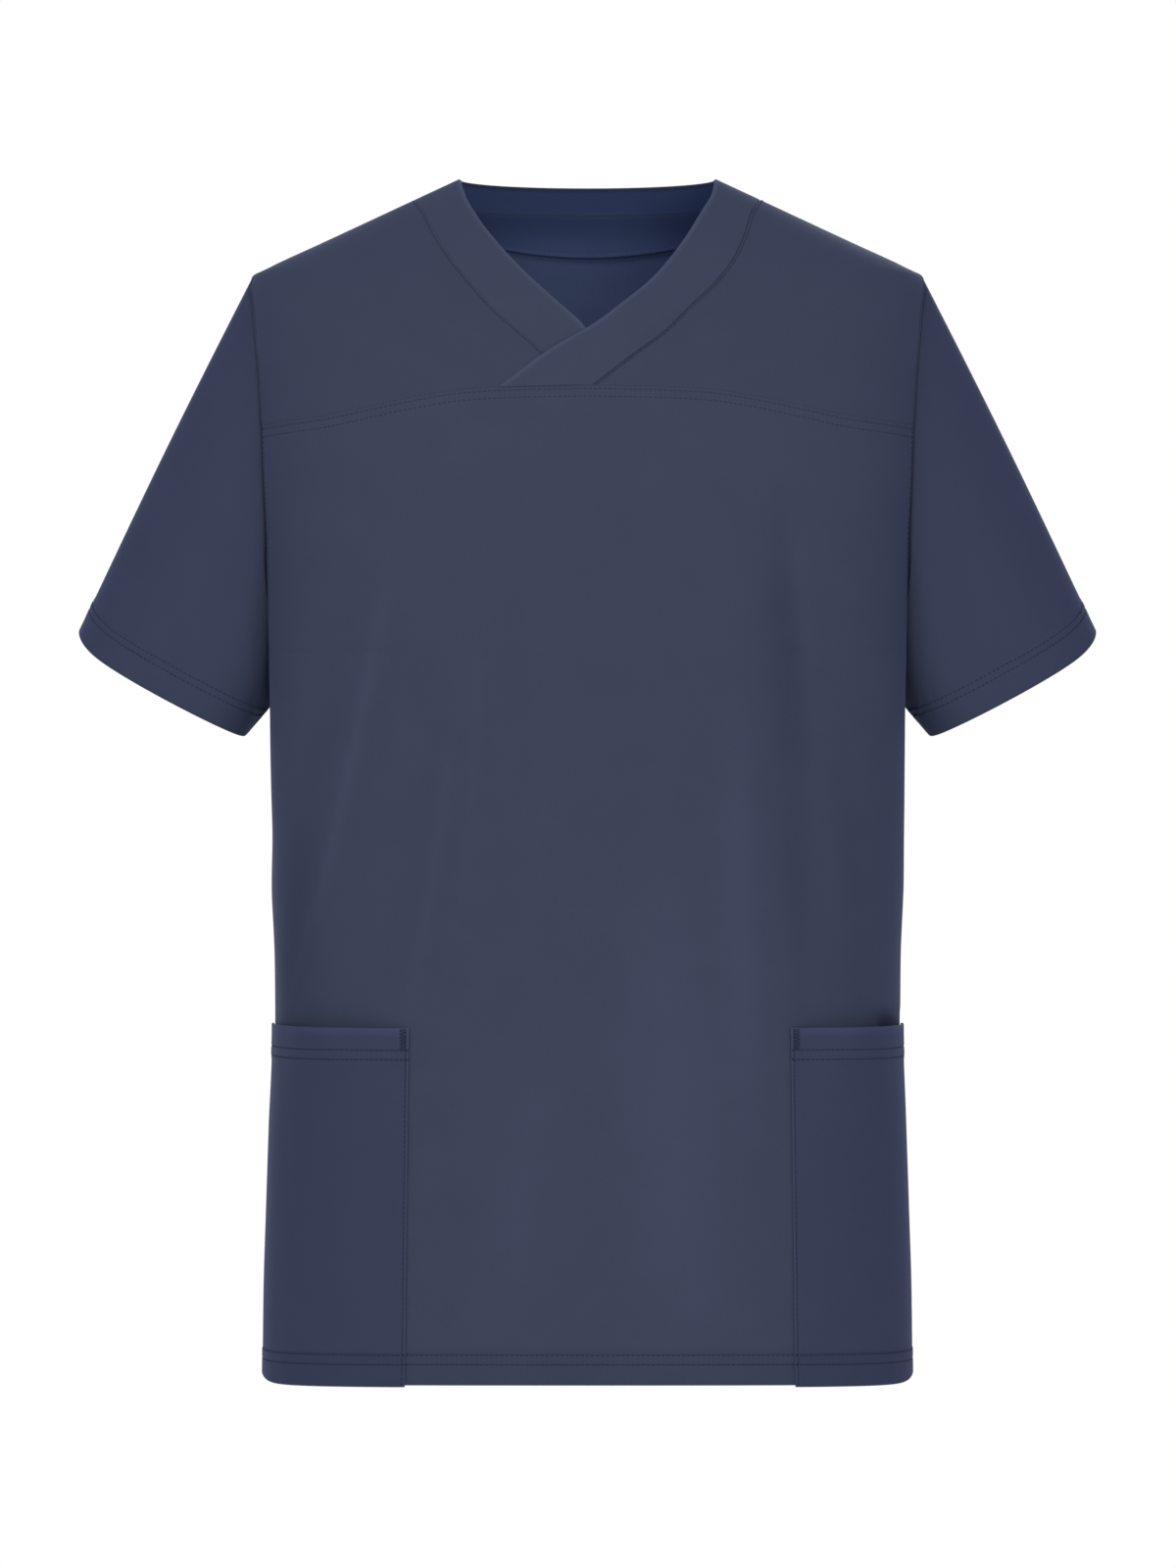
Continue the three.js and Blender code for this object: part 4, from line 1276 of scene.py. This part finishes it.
# %% [markdown]
# ## Pockets
# Two patch pockets lie on the lower front. The side seam and the hem hold two of their edges, a
# row of stitches holds the third, and the top edge is free, hemmed and slightly open. Each pocket
# takes its points from the front and moves them out, so it follows every fold underneath.

# %% Grid of a pocket
POCKET = {"top": -517.5, "below": 1.4, "lift": 1.75, "gape": 9, "gape_depth": 90, "gape_at": 2.6}
POCKET_SPANS = {"across": 125, "up": 216}
# Columns: inner edge at the top, inner edge at the hem.
POCKET_EDGES = {"right": (121.6, 124.1), "left": (106.8, 109.1)}
POCKET_TOP_ROWS = (13.0, 18.8)
POCKET_BOTTOM_ROWS = tuple(row + POCKET["below"] for row in HEM_ROWS)
POCKET_EDGE_ROW = 1.9


def pocket_grid(side):
    """Places of a pocket on the right side, and how far each is lifted off the front."""
    top_x, bottom_x = POCKET_EDGES[side]
    up = spaced(POCKET_SPANS["up"], STEP, POCKET_BOTTOM_ROWS, POCKET_TOP_ROWS)
    across = spaced(POCKET_SPANS["across"], STEP, (), (POCKET_EDGE_ROW,), True, True)
    edge_z = mix(HEM_MIDDLE, POCKET["top"], up)
    edge = angle_across(mix(bottom_x, top_x, up), edge_z)
    angle = across[None, :] * edge[:, None]
    hem = hem_height(angle) - POCKET["below"]
    z = mix(hem, POCKET["top"], up[:, None])
    z = z + corner_rise(angle, z - hem)
    bulge = np.sin(PI * across ** POCKET["gape_at"]) ** 2
    fade = 1 - smooth((POCKET["top"] - z) / POCKET["gape_depth"])
    return angle, z, POCKET["lift"] + POCKET["gape"] * bulge[None, :] * fade


print("rows and columns of a pocket:", pocket_grid("right")[0].shape)

# %% Pockets
POCKET_TOP_HEM = 19.9
POCKET_RIPPLE = 12.1
POCKET_CLOTH = 1.2
EDGE_SHARE = {"roll": 0.5, "painted_highlight": 0.6}


def pocket(side):
    angle, z, lift = pocket_grid(side)
    placed = PI - angle if side == "left" else angle
    form = cloth_over(placed, z, lift)
    distance = edge_distances(form)
    top, bottom, inner = distance["top"], distance["bottom"], distance["end"]
    normals = body_normal(placed, z)
    relief = roll_depth(distance["start"]) + EDGE_SHARE["roll"] * roll_depth(inner)
    relief = relief + groove_depth(inner, [POCKET_EDGE_ROW])
    relief = relief + groove_depth(top, POCKET_TOP_ROWS)
    relief = relief + groove_depth(bottom, POCKET_BOTTOM_ROWS)
    relief = relief + folded_rise(top, POCKET_TOP_HEM, HEM_RISE)
    relief = relief + folded_rise(bottom, HEM_WIDTH, HEM_RISE)
    for row in POCKET_TOP_ROWS:
        relief = relief + puckers(distance["start"], top, row, POCKET_RIPPLE)
    points = form + relief[..., None] * normals
    thickness = np.minimum(hemmed_thickness(top, POCKET_TOP_HEM), POCKET_CLOTH)
    # Painted highlights along the pocket's top and inner edges, painted highlight and shade on its
    # creases, and its hem painted a little darker.
    painted_shading = EDGE_SHARE["painted_highlight"] * edge_falloff(top) + EDGE_SHARE["painted_highlight"] * edge_falloff(inner)
    painted_shading = painted_shading + crease_shading(points, placed) + hem_tone(bottom, HEM_WIDTH)
    cloth_piece(f"pocket_{side}", points, thickness, "pocket_cloth", normals, painted_shading=painted_shading)


pocket("right")
pocket("left")

# %% [markdown]
# ## Stitches
# A lockstitch shows as short lengths of thread that dip into the cloth at both ends. One stitch
# is a small bent tube of six sides. Copies of it are set along lines that run at a fixed distance
# from a panel's edge, and each panel's stitches are joined in one object. Modelling them costs
# many faces, but they catch the light as real thread does, which a painted line can't.

# %% One stitch
THREAD = 0.23
STITCH = {"length": 2.4, "pitch": 3.0, "height": 0.16, "dip": 0.42}
STITCH_SIDES = 6
STITCH_STATIONS = (-1, -0.75, 0, 0.75, 1)


def stitch_shape(length):
    """Rings of one stitch along x, with y across and z away from the cloth."""
    rings = []
    for s in STITCH_STATIONS:
        height = STITCH["height"] - (STITCH["dip"] + STITCH["height"]) * abs(s) ** 3
        for k in range(STITCH_SIDES):
            phi = 2 * PI * k / STITCH_SIDES
            rings.append((s * length / 2, THREAD * math.cos(phi), height + THREAD * math.sin(phi)))
    return np.array(rings)


def stitch_faces():
    faces = []
    for ring in range(len(STITCH_STATIONS) - 1):
        for k in range(STITCH_SIDES):
            low, next_k = ring * STITCH_SIDES, (k + 1) % STITCH_SIDES
            faces.append((low + k, low + next_k, low + STITCH_SIDES + next_k, low + STITCH_SIDES + k))
    return np.array(faces)


print("one stitch:", len(stitch_faces()), "faces")

# %% Lines beside an edge
def lines_at(name, edge, distance, first=0.0, last=1.0):
    """Points and normals of the line at a distance from one edge of a panel's outer grid."""
    points = made[name]["outer"]
    normals = made[name]["normals"]
    if edge in ("bottom", "top"):
        points, normals = points.transpose(1, 0, 2), normals.transpose(1, 0, 2)
    if edge in ("top", "end"):
        points, normals = points[:, ::-1], normals[:, ::-1]
    if made[name]["round"]:
        points = np.concatenate([points, points[:1]])
        normals = np.concatenate([normals, normals[:1]])
    along = lengths_along(points, 1)
    if edge == "bottom":
        along = np.broadcast_to(along[len(along) // 2], along.shape)

    def across_rows(grid):
        rows = range(len(grid))
        return np.array([[np.interp(distance, along[i], grid[i, :, k]) for k in range(3)] for i in rows])

    line, way = across_rows(points), unit(across_rows(normals))
    total = lengths_along(line, 0)
    keep = (total >= first * total[-1]) & (total <= last * total[-1])
    return line[keep], way[keep]


def set_along(line, way, pitch):
    """Middles, directions and normals of stitches set a pitch apart along a line."""
    total = lengths_along(line, 0)
    count = int(total[-1] / pitch)
    at = (np.arange(count) + 0.5) * total[-1] / count
    middle = np.stack([np.interp(at, total, line[:, k]) for k in range(3)], -1)
    ahead = np.stack([np.interp(at + 0.5, total, line[:, k]) for k in range(3)], -1)
    behind = np.stack([np.interp(at - 0.5, total, line[:, k]) for k in range(3)], -1)
    normal = unit(np.stack([np.interp(at, total, way[:, k]) for k in range(3)], -1))
    return middle, unit(ahead - behind), normal


print("pitch of the stitches:", STITCH["pitch"], "mm")

# %% Stitches along a line
threads = []


def stitches(name, slot, runs, length=STITCH["length"]):
    """Joins stitches at every middle of the runs, each a (middles, directions, normals)."""
    shape, faces = stitch_shape(length), stitch_faces()
    all_points, all_faces = [], []
    used = 0
    for middles, ways, normals in runs:
        across = unit(np.cross(normals, ways))
        ways = np.cross(across, normals)
        basis = np.stack([ways, across, normals], 1)
        points = middles[:, None, :] + np.einsum("sk,nkc->nsc", shape, basis)
        offsets = used + np.arange(len(middles)) * len(shape)
        all_faces.append((faces[None] + offsets[:, None, None]).reshape(-1, 4))
        all_points.append(points.reshape(-1, 3))
        used += len(middles) * len(shape)
    piece = new_object(name, np.concatenate(all_points), np.concatenate(all_faces))
    threads.append((piece, slot))
    print(f"{name}: {used // len(shape)} stitches")


def row_at(name, edge, distance, first=0.0, last=1.0):
    return set_along(*lines_at(name, edge, distance, first, last), STITCH["pitch"])


# %% [markdown]
# The rows follow the photograph: two on every hem, two under the yoke seam, one beside each
# armhole, one along the seam of the neck band, two on each pocket's top and one down its inner
# edge. The armhole rows start at the underarm, so on the two lower panels they use only the part
# of the edge that lies above it.

# %% Rows on the front and the back
ABOVE_UNDERARM = 3
BELOW_TIP = 0.5


def part_above(name, edge):
    """Share of a panel's side at which the armhole starts."""
    points = made[name]["outer"]
    side = points[:, 0 if edge == "start" else -1]
    total = lengths_along(side, 0)
    return float(np.interp(UNDERARM + ABOVE_UNDERARM, side[:, 2], total) / total[-1])


front_start = part_above("front_body", "start")
stitches(
    "stitches_front_body",
    "front_cloth",
    [row_at("front_body", "bottom", d) for d in HEM_ROWS]
    + [row_at("front_body", e, ARMHOLE_ROW, front_start) for e in ("start", "end")],
)
stitches("stitches_yoke_seam", "yoke_cloth", [row_at("front_body", "top", d) for d in YOKE_ROWS])

back_edge = made["back_body"]["outer"][:, 0]
back_length = lengths_along(back_edge, 0)
shoulder_tip = int(np.argmax(back_edge[:, 2] > ARMHOLE["top"] - BELOW_TIP))
back_start = part_above("back_body", "start")
back_end = float(back_length[shoulder_tip] / back_length[-1])
stitches(
    "stitches_back_body",
    "back_cloth",
    [row_at("back_body", "bottom", d) for d in HEM_ROWS]
    + [row_at("back_body", "top", BAND_ROW)]
    + [row_at("back_body", e, ARMHOLE_ROW, back_start, back_end) for e in ("start", "end")],
)

# %% Rows on the paired pieces
for side in ("right", "left"):
    stitches(
        f"stitches_front_yoke_{side}",
        "yoke_cloth",
        [
            row_at(f"front_yoke_{side}", "start", ARMHOLE_ROW),
            row_at(f"front_yoke_{side}", "end", YOKE_BAND_ROW),
        ],
    )
    stitches(
        f"stitches_sleeve_{side}",
        "sleeve_cloth",
        [row_at(f"sleeve_{side}", "top", d) for d in SLEEVE_ROWS],
    )
    stitches(
        f"stitches_pocket_{side}",
        "pocket_cloth",
        [row_at(f"pocket_{side}", "top", d) for d in POCKET_TOP_ROWS]
        + [row_at(f"pocket_{side}", "bottom", d) for d in POCKET_BOTTOM_ROWS]
        + [row_at(f"pocket_{side}", "end", POCKET_EDGE_ROW)],
    )

# %% [markdown]
# A bar tack is a dense zigzag that stops a pocket's corner from tearing away. Stitches set close
# together across the line of the edge give the same small raised block. The facing's stitches
# show on the inside of the neck, so their normals point inwards.

# %% Bar tacks and facing stitches
TACK = {"inset": 4.2, "length": 4.0, "height": 12.6, "pitch": 1.0, "lean": 0.12}
FACING_ROW = 2.0


def tack(side):
    line, way = lines_at(f"pocket_{side}", "end", TACK["inset"])
    total = lengths_along(line, 0)
    top = total[-1] - TACK["height"]
    keep = total >= top
    middle, ahead, normal = set_along(line[keep], way[keep], TACK["pitch"])
    lean = np.where(np.arange(len(middle)) % 2 == 0, TACK["lean"], -TACK["lean"])[:, None]
    return middle, unit(np.cross(normal, ahead) + ahead * lean), normal


for side in ("right", "left"):
    stitches(f"bar_tack_{side}", "pocket_cloth", [tack(side)], TACK["length"])

facing_line, facing_way = lines_at("back_neck_facing", "top", FACING_ROW)
facing_line = facing_line - facing_way * FACING_CLOTH
middle, ahead, normal = set_along(facing_line, facing_way, STITCH["pitch"])
stitches("stitches_back_neck_facing", "facing_cloth", [(middle, ahead, -normal)])

# %% [markdown]
# ## Cloth
# The top is a stretch twill: fine ribs run steeply across each panel, slate-navy on the face;
# the reverse is a little duller, and painted bluer for the shade it lies in. Shader maths is
# easier to read as arithmetic, so one small class wraps a socket and lets plain operators add Math
# nodes. Every other node comes from its method called node.

# %% Shader arithmetic
class Wire:
    """One output socket of a material, usable in arithmetic."""

    def __init__(self, tree, socket):
        self.tree = tree
        self.socket = socket

    def node(self, kind, settings=(), sockets=(), output=0):
        """Adds a node, sets it up, feeds its sockets and returns one of its outputs."""
        new = self.tree.nodes.new(kind)
        for name, value in dict(settings).items():
            setattr(new, name, value)
        for name, value in dict(sockets).items():
            if isinstance(value, Wire):
                self.tree.links.new(value.socket, new.inputs[name])
            else:
                new.inputs[name].default_value = value
        return Wire(self.tree, new.outputs[output])

    def maths(self, operation, *values):
        return self.node("ShaderNodeMath", {"operation": operation}, dict(enumerate(values)))

    def sine(self):
        return self.maths("SINE", self)

    def __add__(self, other):
        return self.maths("ADD", self, other)

    def __sub__(self, other):
        return self.maths("SUBTRACT", self, other)

    def __rsub__(self, other):
        return self.maths("SUBTRACT", other, self)

    def __mul__(self, other):
        return self.maths("MULTIPLY", self, other)

    def __truediv__(self, other):
        return self.maths("DIVIDE", self, other)


print("methods of a wire:", ", ".join(name for name in vars(Wire) if not name.startswith("__")))

# %% [markdown]
# The weave starts from the attribute called cut, the place of each point in its flat panel. A
# sine across the diagonal gives the ribs and a finer one along them gives the single threads, so
# ribs look like rows of small grains. Noise at three sizes keeps both from being too even: dye
# and wear never are. All of it, and the attribute called painted_shading with its painted
# highlights and shade, adds up to one tone, which picks a colour between a darker and a lighter
# shade of the cloth.

# %% Colours and noise
def linear(*levels):
    """Linear colour from levels of 0 to 255 as a screen shows them."""
    shares = [level / 255 for level in levels]
    return tuple(s / 12.92 if s < 0.0404 else ((s + 0.055) / 1.055) ** 2.4 for s in shares)


def noise(at, scale, detail=2.0):
    return at.node("ShaderNodeTexNoise", sockets={"Vector": at, "Scale": scale, "Detail": detail})


def scaled(colour, share):
    return tuple(c * share for c in colour) + (1.0,)


print("slate navy in linear light:", np.round(linear(60, 68, 89), 3))

# %% Twill material
TWILL = {"pitch": 0.00085, "thread": 0.0005, "steepness": 62, "wander": 0.00035, "bend": 1.4}
WEAVE = {"ribs": 0.36, "grains": 0.14, "level": 0.5}
NOISE_SCALES = {"wander": 180.0, "patches": 34.0, "slubs": 900.0}
SLUBS = {"tone": 0.10, "height": 0.3}
TONE_RANGE = 0.6
PAINTED_SHADING_STRENGTH = 0.38
BUMP_DISTANCE = 0.00012
ROUGHER_HOLLOWS = 0.08
SPECULAR = 0.16
SHEEN_ROUGHNESS = 0.45
SHEEN_TINT = (0.42, 0.5, 0.9, 1.0)


def twill(name, levels, relief, roughness, sheen, patchiness=0.12, ribbing=0.16):
    material = bpy.data.materials.new(name)
    material.use_nodes = True
    tree = material.node_tree
    surface = tree.nodes["Principled BSDF"]
    start = Wire(tree, None)
    cut = start.node("ShaderNodeAttribute", {"attribute_name": "cut"}, output="Vector")
    painted_shading = start.node("ShaderNodeAttribute", {"attribute_name": "painted_shading"}, output="Fac")
    u = cut.node("ShaderNodeSeparateXYZ", sockets={0: cut}, output="X")
    v = cut.node("ShaderNodeSeparateXYZ", sockets={0: cut}, output="Y")
    turn = math.radians(TWILL["steepness"])
    wander = noise(cut, NOISE_SCALES["wander"]) * TWILL["wander"]
    across_rib = u * math.sin(turn) - v * math.cos(turn) + wander
    along_rib = u * math.cos(turn) + v * math.sin(turn)
    ribs = (across_rib * (2 * PI / TWILL["pitch"])).sine()
    grains = (along_rib * (2 * PI / TWILL["thread"]) + ribs * TWILL["bend"]).sine()
    weave = ribs * WEAVE["ribs"] + grains * WEAVE["grains"] + WEAVE["level"]
    patches = noise(cut, NOISE_SCALES["patches"], detail=4.0)
    slubs = noise(cut, NOISE_SCALES["slubs"])
    tone = (patches - 0.5) * patchiness + (slubs - 0.5) * SLUBS["tone"]
    # The attribute adds the painted highlights and painted shade to the tone.
    tone = tone + (weave - 0.5) * ribbing + painted_shading * PAINTED_SHADING_STRENGTH
    base = linear(*levels)
    shades = {6: scaled(base, 1 - TONE_RANGE), 7: scaled(base, 1 + TONE_RANGE)}
    mixed = tone.node(
        "ShaderNodeMix",
        {"data_type": "RGBA"},
        {0: tone / (2 * TONE_RANGE) + 0.5, **shades},
        2,
    )
    raised = weave + slubs * SLUBS["height"]
    bump = weave.node(
        "ShaderNodeBump",
        sockets={"Strength": relief, "Distance": BUMP_DISTANCE, "Height": raised},
    )
    rough = (1 - weave) * ROUGHER_HOLLOWS + roughness
    tree.links.new(mixed.socket, surface.inputs["Base Color"])
    tree.links.new(bump.socket, surface.inputs["Normal"])
    tree.links.new(rough.socket, surface.inputs["Roughness"])
    surface.inputs["Specular IOR Level"].default_value = SPECULAR
    surface.inputs["Sheen Weight"].default_value = sheen
    surface.inputs["Sheen Roughness"].default_value = SHEEN_ROUGHNESS
    surface.inputs["Sheen Tint"].default_value = SHEEN_TINT
    material.diffuse_color = base + (1.0,)
    return material


print("ribs in a centimetre:", round(0.01 / TWILL["pitch"], 1))

# %% [markdown]
# Each panel has its own small difference in shade, as the photograph shows: the front and the
# neck band are the lightest, and pockets and sleeves are a little deeper. The facing, the reverse
# and the inside of the back band are painted bluer than the face, a painted tint of the bluish
# shade inside the garment, and look darker because little light reaches them. Thread is darker
# than its cloth, less so on the yokes; the facing's is painted paler, a painted highlight along
# its stitched edge.

# %% Finishes
SHADES = {
    "front_cloth": (60, 68, 89),
    "back_cloth": (59, 67, 89),
    "yoke_cloth": (59, 67, 88),
    "sleeve_cloth": (57, 65, 88),
    "pocket_cloth": (56, 64, 87),
    "band_cloth": (61, 69, 90),
    # The facing is painted bluer, a painted tint of the bluish shade inside the neck.
    "facing_cloth": (61, 74, 108),
}
# The reverse and the inside of the back band are painted bluer, a painted tint of the bluish shade they
# lie in.
REVERSE_SHADE_TINTED = (69, 82, 113)
BAND_INSIDE_SHADE_TINTED = (73, 88, 124)
# The facing's thread is painted paler, a painted highlight along its stitched edge.
THREAD_CHANGES = {"yoke_cloth": -13, "facing_cloth": 16}
THREAD_CHANGE = -24

finishes = {}
for slot, levels in SHADES.items():
    finishes[slot] = twill(f"{slot}_face", levels, relief=0.35, roughness=0.78, sheen=0.12)
    finishes[slot + "_thread"] = twill(
        f"{slot}_thread",
        tuple(v + THREAD_CHANGES.get(slot, THREAD_CHANGE) for v in levels),
        relief=0.1,
        roughness=0.62,
        sheen=0.0,
    )
reverse = twill("reverse_cloth", REVERSE_SHADE_TINTED, relief=0.8, roughness=0.82, sheen=0.12, ribbing=0.7)
band_inside = twill("band_inside", BAND_INSIDE_SHADE_TINTED, relief=0.35, roughness=0.8, sheen=0.12)

for name, entry in made.items():
    slots = entry["piece"].data.materials
    slots.append(finishes[entry["slot"]])
    slots.append(band_inside if name == "neckband_back" else reverse)
for piece, slot in threads:
    piece.data.materials.append(finishes[slot + "_thread"])
print("materials, with the frame's own:", len(bpy.data.materials))

# %% [markdown]
# ## What each sheet was cut to
# The size of each cloth piece's flat cut, all round on a tube, is measured on its outer grid,
# along the cloth, and printed.

# %% Measure a panel
def flat_size(name):
    """Width, length and area of a panel's outer grid, in metres."""
    points = made[name]["outer"]
    if made[name]["round"]:
        points = np.concatenate([points, points[:, :1]], axis=1)
    across, up = lengths_along(points, 1)[:, -1], lengths_along(points, 0)[-1]
    a = points[1:, 1:] - points[:-1, :-1]
    b = points[1:, :-1] - points[:-1, 1:]
    area = np.linalg.norm(np.cross(a, b), axis=-1).sum() / 2
    return float(across.max() * MM), float(up.max() * MM), float(area * MM * MM)


print("front:", round(flat_size("front_body")[1] * 1000), "mm long along the cloth")

# %% Sheets
for name, entry in made.items():
    width, length, area = flat_size(name)
    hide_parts(name)
    print(f"{name}: {width * 1000:.0f} x {length * 1000:.0f} mm, {area:.4f} square metres")

# %% [markdown]
# ## Studio
# The photograph has a plain white ground and broad soft light from the front, which lets the
# sides fall off gently, and its shadows are a little bluer than its lights. A dim bluish world
# fills in all round, while the camera itself sees it as white. Large area lights stand in front
# like softboxes, the key one high and to the left, and a weak one lights the left side. Two more
# behind keep the back easy to see. A small lamp inside the neck stands for the light that bounces
# about in there. The floor lies far below the garment.

# %% World
AMBIENT = (0.33, 0.35, 0.46, 1.0)
WHITE = (1.0, 1.0, 1.0, 1.0)

world = bpy.data.worlds.new("studio")
world.use_nodes = True
bpy.context.scene.world = world
sky = Wire(world.node_tree, None)
seen = sky.node("ShaderNodeBackground", sockets={"Color": WHITE})
around = sky.node("ShaderNodeBackground", sockets={"Color": AMBIENT})
by_camera = sky.node("ShaderNodeLightPath", output="Is Camera Ray")
both = sky.node("ShaderNodeMixShader", sockets={0: by_camera, 1: around, 2: seen})
world.node_tree.links.new(both.socket, world.node_tree.nodes["World Output"].inputs["Surface"])
bpy.context.scene.view_settings.view_transform = "Standard"
print("world:", AMBIENT[:3])

# %% Lights
LAMP_TINT = (1.0, 0.96, 0.82)
# Columns: name, x, y, z, size, watts.
LIGHTS = (
    ("key", -0.7, -3.0, 2.3, 1.4, 41),
    ("front", 0.6, -3.8, -0.2, 1.4, 40),
    ("side", -1.7, -1.5, 2.5, 1.0, 9),
    ("back_key", 0.6, 3.6, 1.0, 1.6, 46),
    ("back_fill", -0.9, 3.6, 0.2, 2.0, 28),
)
AIM = (0, 0, -0.37)
INSIDE = {"place": (0, -0.012, -0.072), "radius": 0.02, "watts": 0.06, "tint": (0.45, 0.58, 1.0)}

for name, x, y, z, size, watts in LIGHTS:
    data = bpy.data.lights.new(name, "AREA")
    data.size = size
    data.energy = watts
    data.color = LAMP_TINT
    light = bpy.data.objects.new(name, data)
    light.location = (x, y, z)
    light.rotation_euler = (Vector(AIM) - light.location).to_track_quat("-Z", "Y").to_euler()
    bpy.context.scene.collection.objects.link(light)

data = bpy.data.lights.new("inside", "POINT")
data.shadow_soft_size = INSIDE["radius"]
data.energy = INSIDE["watts"]
data.color = INSIDE["tint"]
inside = bpy.data.objects.new("inside", data)
inside.location = INSIDE["place"]
inside.visible_camera = False
bpy.context.scene.collection.objects.link(inside)
print("lights:", len(LIGHTS) + 1)

# %% Floor
FLOOR = {"height": -1.3, "radius": 2.6, "sides": 96, "shade": (240, 240, 240)}
floor_mesh = bpy.data.meshes.new("floor")
rim = [
    (
        FLOOR["radius"] * math.cos(2 * PI * k / FLOOR["sides"]),
        FLOOR["radius"] * math.sin(2 * PI * k / FLOOR["sides"]),
        FLOOR["height"],
    )
    for k in range(FLOOR["sides"])
]
floor_mesh.from_pydata(rim, [], [list(range(FLOOR["sides"]))])
floor = bpy.data.objects.new("floor", floor_mesh)
bpy.context.scene.collection.objects.link(floor)
floor_finish = bpy.data.materials.new("floor")
floor_finish.use_nodes = True
floor_surface = floor_finish.node_tree.nodes["Principled BSDF"]
floor_surface.inputs["Base Color"].default_value = linear(*FLOOR["shade"]) + (1.0,)
floor_surface.inputs["Roughness"].default_value = 0.9
floor.data.materials.append(floor_finish)
print("floor:", FLOOR["height"], "m")

# %% [markdown]
